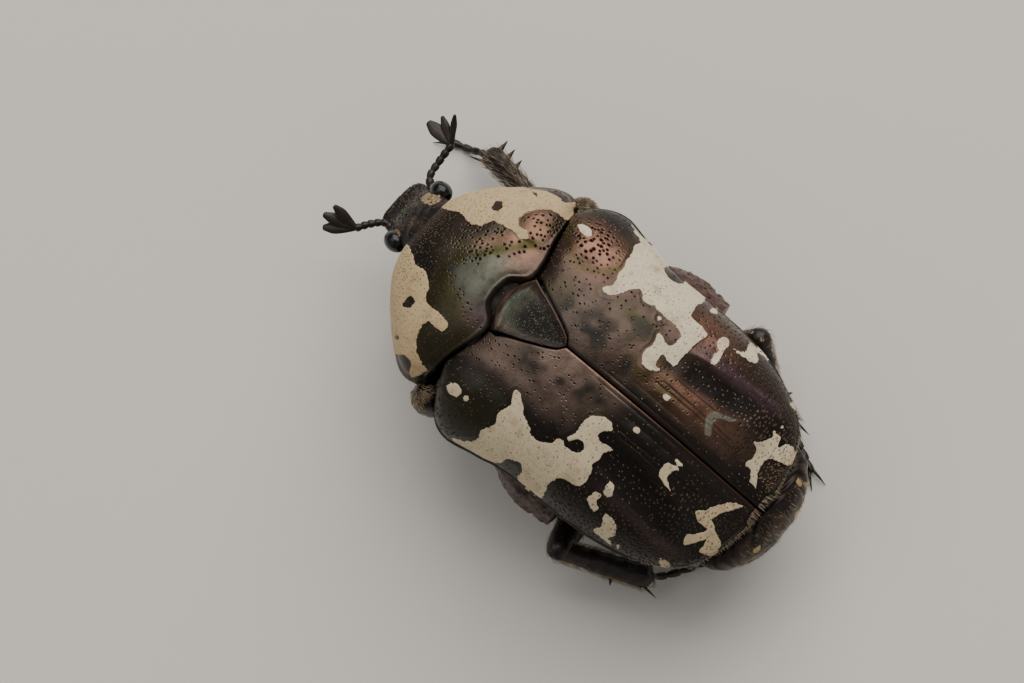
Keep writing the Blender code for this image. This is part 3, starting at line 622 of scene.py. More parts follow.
# %% Outlines of the left wing case's patches
LEFT_OUTLINES = [
    [(-4.52, -0.93), (-4.25, -0.55), (-4.0, -0.32), (-3.72, -0.43), (-3.33, -0.21), (-2.94, -0.36),
     (-2.56, -0.21), (-2.17, -0.4), (-2.02, -0.32), (-2.11, -0.1), (-2.44, 0.25), (-2.67, 0.67),
     (-2.86, 0.94), (-2.78, 1.28), (-2.61, 1.56), (-2.42, 1.56), (-2.33, 1.72), (-2.42, 1.9), (-2.43, 2.12),
     (-2.36, 2.34), (-2.18, 2.43), (-2.02, 2.33), (-1.97, 2.15), (-2.06, 2.0), (-2.22, 1.9), (-2.17, 1.79),
     (-1.89, 1.9), (-1.56, 1.87), (-1.22, 1.94), (-1.0, 2.17), (-0.94, 2.5), (-1.11, 2.74), (-1.28, 2.56),
     (-1.5, 2.5), (-1.61, 2.67), (-1.56, 2.94), (-1.59, 3.17), (-1.83, 2.98), (-2.06, 3.0), (-2.33, 2.94),
     (-2.56, 3.06), (-2.89, 3.13), (-3.17, 3.0), (-3.22, 2.67), (-3.33, 2.39), (-3.67, 2.28), (-4.0, 2.36),
     (-4.17, 2.33), (-4.17, 1.44), (-3.89, 1.39), (-3.72, 1.11), (-3.89, 0.78), (-4.11, 0.72), (-4.3, 0.3)],
    [(-3.89, 4.28), (-3.61, 4.36), (-3.28, 4.2), (-3.22, 4.33), (-3.33, 4.72), (-3.61, 4.89), (-3.78, 4.78),
     (-3.89, 5.0), (-3.92, 4.56)],
    [(-1.44, 5.39), (-1.28, 4.78), (-1.06, 4.67), (-0.78, 4.72), (-0.72, 5.11), (-0.94, 5.0),
     (-1.22, 5.06)],
    [(-2.44, 6.78), (-2.17, 6.6), (-1.89, 6.89), (-1.61, 7.0), (-1.64, 6.67), (-1.56, 6.56), (-1.44, 6.36),
     (-1.17, 6.56), (-0.78, 6.78), (-0.44, 7.11), (-0.33, 7.39), (-0.56, 7.28), (-0.89, 7.06),
     (-1.28, 6.91), (-1.39, 7.11), (-1.56, 7.33), (-1.72, 7.67), (-2.11, 7.67), (-2.28, 7.44),
     (-2.28, 7.22), (-1.89, 7.17)],
    [(-2.94, 3.54), (-2.91, 3.76), (-3.13, 3.77), (-3.26, 3.94), (-3.42, 3.92), (-3.38, 3.69),
     (-3.24, 3.49)],
    [(-2.39, 3.69), (-2.43, 3.88), (-2.59, 3.99), (-2.81, 4.0), (-2.82, 3.81), (-2.66, 3.7)],
]
LEFT_OVALS = [(-3.28, -1.88, 0.19, 0.24), (-3.24, -1.41, 0.1, 0.1), (-0.61, 3.33, 0.1, 0.12),
              (-0.58, 5.0, 0.07, 0.17), (-3.3, 6.67, 0.12, 0.2), (-3.81, 5.2, 0.05, 0.05),
              (-4.42, 0.29, 0.07, 0.07)]
print("outlines and ovals of the left case", len(LEFT_OUTLINES), len(LEFT_OVALS))

# %% [markdown]
# The right wing case also has a dark hole in its large patch, and a faint grey arch beside the seam.

# %% Outlines of the right wing case's patches
RIGHT_OUTLINES = [
    [(4.22, -0.86), (4.08, -0.55), (4.0, -0.32), (3.78, -0.38), (3.56, -0.32), (3.11, -0.24), (2.78, -0.21),
     (2.44, -0.13), (2.17, -0.32), (2.04, -0.21), (2.22, 0.12), (2.61, 0.39), (2.83, 0.61), (2.72, 0.83),
     (2.61, 1.0), (2.72, 1.28), (2.67, 1.67), (2.67, 2.22), (2.56, 2.5), (2.22, 2.53), (2.06, 2.39),
     (2.17, 1.94), (1.94, 1.98), (1.67, 2.0), (1.44, 1.94), (1.11, 2.11), (1.06, 2.33), (1.17, 2.61),
     (1.28, 2.72), (1.33, 2.5), (1.72, 2.44), (1.67, 2.72), (1.7, 2.98), (2.0, 3.0), (2.44, 3.02),
     (2.89, 3.11), (3.06, 3.17), (3.17, 2.89), (3.22, 2.39), (3.56, 2.31), (3.89, 2.37), (3.97, 1.67),
     (4.0, 1.2), (4.06, 0.67), (4.11, 0.0)],
    [(2.44, 3.78), (2.56, 3.94), (2.89, 3.89), (3.33, 3.83), (3.37, 3.61), (3.17, 3.5), (3.0, 3.61),
     (2.89, 3.72), (2.72, 3.7)],
    [(3.28, 4.06), (3.39, 4.39), (3.72, 4.31), (3.76, 4.44), (3.7, 5.17), (3.64, 4.72), (3.44, 4.89),
     (3.28, 4.72), (3.26, 4.33)],
    [(0.33, 7.39), (0.39, 7.11), (0.67, 6.89), (0.72, 6.63), (1.11, 6.67), (1.33, 6.56), (1.42, 6.39),
     (1.56, 6.56), (1.89, 6.72), (2.02, 6.67), (2.06, 6.94), (1.78, 7.06), (2.06, 7.28), (2.0, 7.67),
     (1.56, 7.72), (1.44, 7.39), (1.28, 7.06), (0.89, 7.06), (0.67, 7.17)],
]
RIGHT_OVALS = [(3.17, -1.88, 0.14, 0.27), (3.78, 2.83, 0.1, 0.12), (4.1, 0.28, 0.07, 0.07),
               (2.53, 1.67, 0.06, 0.06), (0.76, 3.39, 0.1, 0.12), (3.08, 6.72, 0.07, 0.24),
               (2.06, 6.67, 0.04, 0.04), (2.33, 6.78, 0.04, 0.04)]
RIGHT_HOLES = [(3.86, 1.17, 0.17, 0.37)]
ARCH_MARK = [(0.61, 5.06), (0.83, 4.89), (1.11, 4.74), (1.39, 4.83), (1.5, 5.17), (1.61, 5.5), (1.44, 5.44),
             (1.28, 5.06), (1.0, 5.06), (0.72, 5.22)]
print("patch outlines", len(PRONOTUM_OUTLINES + LEFT_OUTLINES + RIGHT_OUTLINES))

# %% [markdown]
# The surface is pitted: round holes on the bulges, and little horseshoes on the sides and the rear. A pit
# could be painted, but only real hollows catch the light on one wall and lose it on the other. Pits are
# drawn from cells of the grid, one at most in each, so that they keep apart, and each presses a cup into
# the points near it.

# %% Pits in a surface
PIT_SIZES, PIT_REACH = (0.8, 1.2), 2.4
HOOF_PLACE, HOOF_WIDTH, HOOF_OPENING = 1.1, 0.35, 1.6
LIP_SHARE, LIP_PLACE, LIP_WIDTH = 0.14, 1.45, 0.28
PATCH_PITS, PATCH_EDGE = 0.3, 0.05


def press_pits(grid, chance, spacing, radius, depth, seed, horseshoe=0.0):
    """How far pits lower each point of a grid, and how much of a pit each point is."""
    draw = np.random.default_rng(seed)
    rows, columns = grid.shape[:2]
    chance, radius, horseshoe = (np.broadcast_to(v, (rows, columns)) for v in (chance, radius, horseshoe))
    step_i = np.median(np.linalg.norm(np.diff(grid, axis=0), axis=2))
    step_j = np.median(np.linalg.norm(np.diff(grid, axis=1), axis=2))
    cell_i, cell_j = max(round(spacing / step_i), 3), max(round(spacing / step_j), 3)
    i, j = np.meshgrid(np.arange(0, rows, cell_i), np.arange(0, columns, cell_j), indexing="ij")
    j = j + (i // cell_i % 2) * (cell_j // 2)
    i = i + draw.integers(0, max(cell_i * 3 // 4, 1), i.shape)
    j = j + draw.integers(0, max(cell_j * 3 // 4, 1), j.shape)
    keep = (i < rows) & (j < columns)
    i, j = i[keep], j[keep]
    keep = draw.random(i.shape) < chance[i, j]
    i, j = i[keep], j[keep]
    centre = grid[i, j]
    size = radius[i, j] * draw.uniform(*PIT_SIZES, i.shape)
    curved = horseshoe[i, j] > 0.5
    lower, mask = np.zeros((rows, columns)), np.zeros((rows, columns))
    reach_i, reach_j = (math.ceil(radius.max() * PIT_REACH / step) for step in (step_i, step_j))
    for di in range(-reach_i, reach_i + 1):
        for dj in range(-reach_j, reach_j + 1):
            inside = (i + di >= 0) & (i + di < rows) & (j + dj >= 0) & (j + dj < columns)
            a, b = (i + di)[inside], (j + dj)[inside]
            offset = grid[a, b] - centre[inside]
            share = np.linalg.norm(offset, axis=1) / size[inside]
            cup = np.clip(1 - share**2, 0, 1)
            to_tail = 0.5 + 0.5 * offset[:, 1] / np.maximum(np.linalg.norm(offset, axis=1), 1e-6)
            hoof = bell(share, HOOF_PLACE, HOOF_WIDTH) * np.clip(to_tail * HOOF_OPENING, 0, 1)
            hollow = np.where(curved[inside], hoof, cup)
            lip = LIP_SHARE * bell(share, LIP_PLACE, LIP_WIDTH) * ~curved[inside]
            np.minimum.at(lower, (a, b), -depth * size[inside] / radius.max() * hollow)
            np.maximum.at(mask, (a, b), hollow)
            np.add.at(lower, (a, b), depth * lip * (hollow < 0.05))
    return lower, mask


def press_patched(grid, patch, chance, spacing, radius, depth, seed, horseshoe=0.0):
    """Pits as above, which keep off the edges of patches and are shallow inside them."""
    chance = np.where(abs(patch) < PATCH_EDGE, 0, chance)
    lower, pit = press_pits(grid, chance, spacing, radius, depth, seed, horseshoe)
    return np.where(patch > 0, PATCH_PITS * lower, lower), pit


def ripple(points, wavelength, seed):
    """A gentle unevenness from -1 to 1: a sum of waves in random directions."""
    draw = np.random.default_rng(seed)
    total = np.zeros(points.shape[:-1])
    for _ in range(9):
        direction = draw.normal(size=3)
        direction /= np.linalg.norm(direction)
        wave = wavelength * draw.uniform(0.7, 1.4)
        total += np.sin(points @ direction * 2 * math.pi / wave + draw.uniform(0, 6))
    return total / 4


# %% [markdown]
# The two wing cases are one sheet each, bent over the body and meeting along a straight seam. Their sizes
# are the same rows that the solids were lofted from. The fine surface adds what the solids leave out: a
# raised band along the seam, thin grooves beside it, a long hollow, a swollen shoulder, a knob near the
# tail and a bead at the rim.

# %% Sizes of the wing cases
SHELL = [
    (-2.55, 3.70, 4.75, 6.60), (-2.40, 4.10, 4.62, 6.70), (-2.00, 4.40, 4.50, 6.85),
    (-1.40, 4.50, 4.38, 7.00), (-0.50, 4.34, 4.36, 7.15), (0.30, 4.18, 4.42, 7.20), (1.10, 4.10, 4.32, 7.20),
    (2.30, 4.10, 4.20, 7.08), (3.40, 4.07, 4.10, 6.88), (4.40, 3.95, 4.05, 6.60), (5.30, 3.74, 4.02, 6.25),
    (6.10, 3.42, 4.02, 5.82), (6.75, 3.00, 4.10, 5.40), (7.20, 2.45, 4.25, 5.15), (7.55, 1.60, 4.48, 5.02),
    (SHELL_END, 0.50, 4.72, 4.95),
]
SHELL_POWER = 2.5
SHELL_THICKNESS = 0.3
SEAM = 0.018
RELIEF = [(0.12, 3.05, 0.75, -1.60, 0.80), (0.14, 1.95, 0.60, 5.95, 0.55), (-0.10, 1.85, 0.45, 4.00, 1.70)]
SCUTELLUM = [
    (-2.62, 0.55), (-2.45, 0.95), (-2.15, 1.12), (-1.75, 0.94), (-1.10, 0.68), (-0.50, 0.42), (-0.20, 0.25),
    (-0.06, 0.08),
]
PRONOTUM_BASE = [
    (0.0, -2.98), (0.55, -2.86), (1.0, -2.36), (1.6, -2.38), (2.4, -2.64), (3.1, -2.84), (3.9, -3.15),
]
PROTHORAX_TURN = math.radians(-2.5)
PROTHORAX_PIVOT = np.array([0.0, -2.6, 5.0])
SHELL_ROWS, SHELL_COLUMNS, INNER_COLUMNS = 540, 280, 16
FRONT_REACH, FRONT_GAP = 1.2, 0.05
SHOULDER_START, SHOULDER_SLOPE = {LEFT: -3.66, RIGHT: -3.88}, 0.31
STRIP_BACK = -2.3
base_curve = smooth_rows(PRONOTUM_BASE, 200)


def pronotum_base(x):
    """Where the pronotum's hind edge lies in y, on the turned pronotum."""
    return np.interp(abs(x), base_curve[:, 0], base_curve[:, 1]) + x * math.sin(PROTHORAX_TURN)


def scutellum_half(y):
    """Half width of the scutellum, which falls to less than nothing behind its tip."""
    table = np.array([row for row in SCUTELLUM if row[0] > STRIP_BACK])
    behind = (y - table[-1, 0]) * (table[-1, 1] - table[-2, 1]) / (table[-1, 0] - table[-2, 0])
    return np.interp(y, table[:, 0], table[:, 1]) + min(behind, 0)


def shell_surface(side):
    """The plain outer surface of one wing case, from the seam to the rim and from front to back."""
    surface = np.empty((SHELL_ROWS, SHELL_COLUMNS, 3))
    rows = fine_rows(SHELL, SHELL_ROWS)
    for i, (y, half, margin, crown) in enumerate(rows):
        inner_edge = max(scutellum_half(y) + SEAM, SEAM)
        first = math.asin(min(inner_edge / half, 1) ** (SHELL_POWER / 2))
        across, up = rounded(np.linspace(first, math.pi / 2, FINE // 8), SHELL_POWER)
        height = margin + (crown - margin + spots(RELIEF, half * across, y)) * up
        curve = evenly(np.stack([half * across, height], axis=1), SHELL_COLUMNS)
        surface[i] = np.stack([side * curve[:, 0], np.full(SHELL_COLUMNS, y), curve[:, 1]], axis=1)
    front = rows[0, 0]
    fade = np.clip(1 - (surface[:, :, 1] - front) / FRONT_REACH, 0, 1) ** 2
    shoulder = SHOULDER_START[side] + SHOULDER_SLOPE * abs(surface[:, :, 0])
    surface[:, :, 1] += fade * (np.maximum(pronotum_base(surface[:, :, 0]) + FRONT_GAP, shoulder) - front)
    return surface


print("length of a wing case, mm", round(SHELL[-1][0] - SHELL[0][0], 2))

# %% [markdown]
# Close to the seam a wing case has a flat band with a groove beside it and a few fine grooves, the striae.
# A long hollow lies beside a low ridge. All of these are sums of soft bumps and dents, which keep the gloss
# unbroken.

# %% Sculpture of the wing cases
STRIAE = [(0.95, 2.7, 6.3), (1.10, 2.9, 6.0), (1.45, 3.1, 5.6)]
STRIA_DEPTH, STRIA_WIDTH = 0.022, 0.02
BAND_PLACE, GROOVE_PLACE, RIM_GROOVE_PLACE = 0.30, 0.50, 0.26
HOLLOW_PLACE, HOLLOW_MIDDLE, HOLLOW_DEPTH = 2.0, 4.4, 0.06


def hollow_share(x, y):
    """1 in the long hollow beside the ridge, and 0 away from it."""
    middle = HOLLOW_PLACE + 0.13 * (y - HOLLOW_MIDDLE)
    return np.exp(-(((x - middle) / 0.45) ** 4) - ((y - HOLLOW_MIDDLE) / 1.65) ** 4)


def striae(x, y):
    """The fine grooves along a wing case, 1 in their middle."""
    total = 0
    for across, start, end in STRIAE:
        place = across * (1 - 0.06 * rise(y, 4.5, 6.5)) + 0.006 * np.sin(y * 7 + across * 9)
        line = bell(x, place, STRIA_WIDTH) * rise(y, start, start + 0.4) * (1 - rise(y, end - 0.4, end))
        total = total + line
    return total


def shell_sculpture(x, y, from_seam, from_rim):
    """Height that the fine forms add, from where a point lies and how far it is from the two edges."""
    behind = rise(y, 1.8, 4.5)
    height = (0.018 * bell(x, BAND_PLACE, 0.10) - 0.016 * bell(x, GROOVE_PLACE, 0.05)) * behind
    height -= 0.012 * bell(from_seam, 0.17, 0.03) * rise(y, 1.0, 2.0)
    height -= STRIA_DEPTH * striae(x, y)
    ridge = HOLLOW_PLACE + 0.58 + 0.10 * (y - HOLLOW_MIDDLE)
    height += 0.05 * bell(x, ridge, 0.16) * rise(y, 2.8, 3.6) * (1 - rise(y, 5.6, 6.4))
    height -= HOLLOW_DEPTH * hollow_share(x, y)
    height += 0.03 * bell(x, 0.75, 0.16) * rise(y, 2.6, 3.4) * (1 - rise(y, 6.0, 6.6))
    height -= 0.06 * bell(x, 2.35, 0.3) * bell(y, -1.2, 0.9)
    height -= 0.04 * bell(from_seam, 0.0, 0.03)
    bead = 0.05 * bell(from_rim, 0.10, 0.06) * (1 - 0.8 * rise(y, 5.0, 6.0))
    return height + bead - 0.045 * bell(from_rim, RIM_GROOVE_PLACE, 0.07)


print("striae", len(STRIAE))

# %% [markdown]
# The colours of a wing case are soft spots and bands too, each a number from 0 to 1 that the finish of the
# back mixes in. The left case is painted dark, as shade, but for its front, which has a painted pinkish-grey
# reflection of the lamp, and the right one has a painted rosy sheen. The long hollow is painted dark as
# shade. Dark lines follow the edges and the striae, painted shade in the rim groove and the striae, and the
# seam glows coppery in front.

# %% Colours of the wing cases
SMUDGES = [(1.0, 0.9, 0.6, 0.0, 1.2), (0.6, 2.1, 0.5, 1.4, 0.8), (1.0, 0.65, 0.35, 1.7, 0.6)]
OLIVE_SPOTS = [(0.4, 2.1, 0.25, 1.2, 0.8), (0.6, 0.8, 0.25, 2.7, 0.7)]
ROSY_SHEEN_SPOTS = [(1.0, 3.2, 0.8, -1.3, 1.1), (1.1, 1.2, 0.6, 4.2, 1.7), (1.0, 3.2, 0.5, 3.0, 1.3)]
LESS_SHADE_SPOTS = [(0.25, 3.3, 0.8, -1.3, 1.0)]
NOTCH_SHADE = [(1.0, 4.0, 0.4, 1.1, 0.6)]
GREY_SPOTS = [(0.15, 1.3, 0.9, -0.3, 1.4)]
SHOULDER_RING = (3.25, -1.45, 0.95, 1.05)


def left_tints(x, y, lit):
    """The left wing case: painted dark, as shade, but for its front, which has a painted dull pinkish-grey
    reflection.
    """
    # Less painted shade on the rib, on the band beside the seam and on the shoulder, where light catches
    # them.
    ridge = 0.45 * bell(x, 2.75, 0.3) * rise(y, 2.8, 4.0) * (1 - rise(y, 6.0, 7.0))
    dark = 0.95 - 0.95 * lit - ridge - 0.25 * bell(x, 0.25, 0.2) * rise(y, 3.0, 5.0)
    olive = 0.8 * rise(x, 2.3, 2.9) * (1 - rise(y, 0.0, 1.0))
    return {"dark": dark - spots(LESS_SHADE_SPOTS, x, y), "olive": olive, "purple": 0.25 * lit, "rosy": 0.42 * lit,
            "grey": 0.8 * lit, "copper": 0.6}


def right_tints(surface, x, y, from_seam):
    """The right wing case: a painted rosy sheen, and dark at its edges and its tail."""
    rear = rise(y, 5.6, 6.6) * (1 - 0.5 * bell(x, 1.1, 0.4))
    side_band = rise(x, 2.9, 3.4) * rise(y, 3.4, 4.8) * 0.8
    seam_band = 0.85 * (1 - rise(x, 0.35, 0.55)) * rise(y, 1.8, 2.6)
    corner = rise(x, 3.5, 4.1) * (1 - rise(y, -1.2, 0.0))
    dark = np.maximum.reduce([rear, side_band, seam_band, corner, bell(from_seam, 0.07, 0.04)])
    return {"dark": dark, "olive": 0.0, "purple": 0.0, "rosy": np.clip(spots(ROSY_SHEEN_SPOTS, x, y), 0, 1),
            "grey": spots(GREY_SPOTS, x, y), "copper": 0.1,
            "arch": rise(depth_in_outline(ARCH_MARK, *as_seen(surface)), -0.01, 0.02)}


def shell_colours(side, surface, x, y, from_seam, from_rim, patch):
    """Where a wing case is dark, olive, purple, coppery or rosy, each from 0 to 1."""
    # Uneven everywhere: a mottle for the olive and dark clouds. The front that mirrors the lamp is lit, a
    # mask for its painted reflection.
    mottle = 0.5 + 0.5 * ripple(surface, 1.1, 5 + side)
    cloud = rise(ripple(surface, 1.5, 25 + side) + 0.7 * ripple(surface, 0.45, 26), -0.4, 0.8)
    lit = (1 - rise(y + 0.55 * x, 2.0, 3.4)) * (1 - rise(x, 1.7, 2.5))
    tints = left_tints(x, y, lit) if side == LEFT else right_tints(surface, x, y, from_seam)
    # The long hollow is painted dark, as shade, and so is the notch at the side.
    dark = tints["dark"] + 1.2 * cloud * spots(SMUDGES, x, y) + 1.1 * hollow_share(x, y)
    dark = dark + spots(NOTCH_SHADE, x, y)
    # Dark lines at the edges and in the striae: painted shade in the rim groove and the striae, and a dark
    # joint at the seam.
    edges = np.maximum(bell(from_rim, RIM_GROOVE_PLACE, 0.08), bell(from_seam, 0.0, 0.02))
    lines = np.maximum(edges, 0.9 * striae(x, y))
    # Olive in a ring round the shoulder and along the patches, purple on the ridge as a painted reflection,
    # coppery on the seam.
    x_ring, y_ring, half_width, half_length = SHOULDER_RING
    ring = bell(np.hypot((x - x_ring) / half_width, (y - y_ring) / half_length), 1.0, 0.13)
    contour = bell(patch, -0.20 + 0.05 * ripple(surface, 0.9, 27), 0.05) * lit
    halo = 0.6 * ring + 0.5 * contour + spots(OLIVE_SPOTS, x, y)
    ridge = bell(x, 2.65, 0.25) * rise(y, 2.9, 3.6)
    glow = bell(from_seam, 0.035, 0.012) * rise(y, -0.4, 0.4) * (1 - 0.6 * rise(y, 2.5, 5.0))
    return {
        **tints,
        "dark": np.clip(np.maximum(dark, lines), 0, 1),
        "olive": np.clip(halo * mottle * 1.4 + 0.25 * cloud + tints["olive"], 0, 1),
        "purple": np.clip(ridge + tints["purple"], 0, 1),
        "copper": np.clip(glow, 0, 1) * tints["copper"],
    }


print("smudges and tinted spots", len(SMUDGES), len(OLIVE_SPOTS + ROSY_SHEEN_SPOTS + LESS_SHADE_SPOTS + GREY_SPOTS))

# %% [markdown]
# Each wing case is a fine grid from the seam to the rim. Its pits lie closer together on the shoulders and
# the sides, and the right shoulder has the largest. The patches stand a hundredth of a millimetre above the
# cuticle, so that their edges catch light.

# %% Make the wing cases
PATCH_STEP, PATCH_RISE = (-0.01, 0.02), 0.012
SHOULDER, SHOULDER_SHARES = [(1.0, 3.2, 0.75, -1.6, 0.85)], {LEFT: 0.15, RIGHT: 1.0}
BARE_SEAM, BARE_RIM = 0.16, 0.35
PATCH_PIT_RADIUS, PIT_RADIUS, PIT_GROWTH = 0.025, 0.029, 0.026
PATCH_TONES_AND_SHADE = {LEFT: 0.4, RIGHT: 0.1}
MARKS = {LEFT: (LEFT_OUTLINES, LEFT_OVALS, []), RIGHT: (RIGHT_OUTLINES, RIGHT_OVALS, RIGHT_HOLES)}
skins, rims = {}, {}


def from_margin(surface):
    """Distance of each point of a wing case from its outer and hind margin."""
    margin = np.concatenate([surface[::6, -1], surface[-1, ::-6]])
    nearest = np.full(surface.shape[:2], FAR)
    for point in margin:
        nearest = np.minimum(nearest, np.linalg.norm(surface - point, axis=2))
    return nearest


def shell_pits(side, plain, x, y, from_seam, from_rim, patch):
    """The pits of a wing case: large on the shoulder, and horseshoes on the sides and the rear."""
    shoulder = spots(SHOULDER, x, y) * SHOULDER_SHARES[side]
    sides = rise(x, 2.5, 3.2) * rise(y, 1.8, 3.0)
    rear = rise(y, 5.2, 6.2) * rise(x, 0.6, 1.0)
    chance = 0.38 + 0.8 * shoulder + 0.6 * sides + 0.5 * rear + 0.4 * hollow_share(x, y)
    chance = np.where(patch > 0, 0.5, np.clip(chance, 0, 0.95))
    chance = np.where((from_seam > BARE_SEAM) & (from_rim > BARE_RIM), chance, 0)
    radius = np.where(patch > 0, PATCH_PIT_RADIUS, PIT_RADIUS + PIT_GROWTH * rise(shoulder, 0.2, 0.7))
    horseshoe = sides + rear + bell(x, 1.3, 0.5) * rise(y, 4.2, 5.0)
    return press_patched(plain, patch, chance, 0.18, radius, depth=0.06, seed=11 + side, horseshoe=horseshoe)


def wing_case(side):
    """One wing case with its pits, ridges and patches, closed by a thin inner face."""
    plain = shell_surface(side)
    normal = normals_of(plain, False)
    x, y = abs(plain[:, :, 0]), plain[:, :, 1]
    length = np.linalg.norm(np.diff(plain, axis=1), axis=2).sum(axis=1)[:, None]
    share = np.linspace(0, 1, SHELL_COLUMNS)[None]
    from_seam, from_rim = share * length, from_margin(plain)
    patch = patch_depth(plain, *MARKS[side])
    lower, pit = shell_pits(side, plain, x, y, from_seam, from_rim, patch)
    height = shell_sculpture(x, y, from_seam, from_rim) + lower + 0.008 * ripple(plain, 0.9, 3)
    height += 0.010 * bell(patch, -0.13, 0.05) * (1 - rise(y, 1.5, 2.5))
    height += (PATCH_RISE + STRIA_DEPTH * striae(x, y)) * rise(patch, *PATCH_STEP)
    outer = plain + normal * height[:, :, None]
    picks = np.linspace(SHELL_COLUMNS - 1, 0, INNER_COLUMNS).astype(int)
    inner = plain[:, picks] - normal[:, picks] * SHELL_THICKNESS
    inner[:, -1, 0] = outer[:, 0, 0]
    # The left case's patches are painted darker and tanner than the right's, as shade.
    values = {"pit": pit, "patch": patch, "tone": rise(y, 5.0, 6.2) * 0.25 + PATCH_TONES_AND_SHADE[side]}
    values.update(shell_colours(side, plain, x, y, from_seam, from_rim, patch))
    grid = np.concatenate([outer, inner], axis=1)
    for key, value in values.items():
        bare = np.full(inner.shape[:2], NO_VALUE.get(key, 0.0))
        values[key] = np.concatenate([np.broadcast_to(value, x.shape), bare], axis=1).ravel()
    rows, columns = grid.shape[:2]
    caps = [np.arange(columns)[None], (rows - 1) * columns + np.arange(columns)[None]]
    faces = [grid_faces(rows, columns, True), *caps]
    shape = {"points": grid.reshape(-1, 3), "faces": faces, "values": values}
    name = f"elytron_{SIDE_NAMES[side]}"
    skins[name] = (outer, normal)
    rims[name] = from_rim
    add_piece(f"wing_case_{SIDE_NAMES[side]}", [shape], back_finish, [name])


for side in (LEFT, RIGHT):
    wing_case(side)

# %% [markdown]
# The scutellum is the small three-sided plate between the roots of the wing cases. It lies a little lower
# than they do, dusty and dark green in the middle, with a thin raised rim that glows coppery red and has a
# faint painted highlight on its right side, towards the lamp. The low strip in front of it is painted dark,
# as shade.

# %% Make the scutellum
SCUTELLUM_ROWS, SCUTELLUM_COLUMNS = 150, 120
STRIP_REACH, STRIP_DEPTH = 0.9, 0.14
STRIP_EDGE, STRIP_CURVE = -2.62, 0.42
SCUTELLUM_THICKNESS = 0.4


def shell_height(x, y):
    """Height of the wing cases' outer surface without its swellings."""
    half, margin, crown = section_at(SHELL, y)
    share = np.clip(abs(x) / half, 0, 1)
    return margin + (crown - margin) * (1 - share**SHELL_POWER) ** (1 / SHELL_POWER)


def scutellum():
    """The scutellum as a shallow dish with a rim, and the lower strip between it and the pronotum."""
    rows = fine_rows([row for row in SCUTELLUM if row[0] > STRIP_BACK], SCUTELLUM_ROWS)
    share = np.linspace(-1, 1, SCUTELLUM_COLUMNS)[None]
    half = np.maximum(rows[:, 1:] - SEAM, 0.02)
    x = half * share
    y = np.broadcast_to(rows[:, :1], x.shape)
    fade = np.clip(1 - (y - rows[0, 0]) / STRIP_REACH, 0, 1) ** 2
    y = y + fade * (pronotum_base(x) + SEAM - rows[0, 0])
    from_front = y - (STRIP_EDGE + STRIP_CURVE * x**2)
    top = np.stack([x, y, shell_height(x, np.maximum(y, SHELL[0][0]))], axis=2)
    from_edge = np.minimum((1 - abs(share)) * half * 0.9, np.maximum(from_front, 0))
    rim = bell(from_edge, 0.04, 0.022)
    basin = rise(from_edge, 0.06, 0.26)
    plate = rise(from_front, -0.03, 0.02)
    corner = rise(abs(x), 0.50, 0.85) * basin
    chance = np.where(from_edge > 0.1, 0.35 + corner, 0.25)
    lower, pit = press_pits(top, chance, spacing=0.12, radius=0.02, depth=0.03, seed=4)
    top[:, :, 2] += 0.015 * rim * plate - 0.05 * basin - 0.04 * bell(share * half, half, 0.02) + lower
    top[:, :, 2] -= 0.006 * ripple(top, 0.35, 8) + STRIP_DEPTH * (1 - plate)
    dusty = basin * np.exp(-((x / 0.72) ** 4) - ((y + 1.10) / 1.05) ** 4)
    # A faint highlight is painted on the rim's right side, towards the lamp, and the low strip is painted
    # dark, as shade.
    right_rim_highlight = 0.22 * bell(from_edge, 0.035, 0.015) * plate * (x < 0)
    red = np.maximum(0.8 * bell(from_front, 0.0, 0.02), right_rim_highlight)
    dark = 1.05 * dusty + 0.85 * rise(y, -0.9, -0.3) + 0.95 * (1 - plate) + 0.8 * (1 - basin)
    values = {
        "pit": pit, "copper": red, "grey": basin, "olive": 0.7 * corner, "dark": np.clip(dark, 0, 1),
        "purple": 0.4 * rim, "rosy": 0.6 * corner, "matt": np.clip(1.3 * dusty, 0, 1),
    }
    shape = plate_shape(top, SCUTELLUM_THICKNESS, values)
    add_piece("scutellum_plate", [shape], back_finish, ["scutellum"])


scutellum()

# %% [markdown]
# The prothorax is the shield behind the head: the pronotum above and the breast of the first legs below. It
# is one closed loft. Its hind edge curves round the scutellum, and it sits turned a little to one side, as
# the living beetle holds it.

# %% Shape of the prothorax
PROTHORAX = [
    (-6.30, 1.15, 4.60, 5.35, 3.60), (-6.05, 1.75, 4.52, 5.58, 3.20), (-5.60, 2.35, 4.45, 5.88, 2.80),
    (-5.10, 2.85, 4.40, 6.16, 2.50), (-4.50, 3.38, 4.38, 6.45, 2.30), (-3.95, 3.75, 4.40, 6.65, 2.20),
    (-3.50, 3.88, 4.46, 6.76, 2.20), (-3.10, 3.80, 4.55, 6.80, 2.30), (-2.70, 3.50, 4.70, 6.78, 2.50),
]
PRONOTUM_POWER, FLANK_POWER = 2.4, 1.8
BASE_FALL, BASE_HOLD = 3, 0.3
PROTHORAX_ROWS, TOP_COLUMNS, UNDER_COLUMNS = 220, 420, 90


def turned(points, angle, pivot):
    """Points after a turn about an upright axis."""
    cosine, sine = math.cos(angle), math.sin(angle)
    turn = np.array([[cosine, -sine, 0], [sine, cosine, 0], [0, 0, 1]])
    return (points - pivot) @ turn.T + pivot


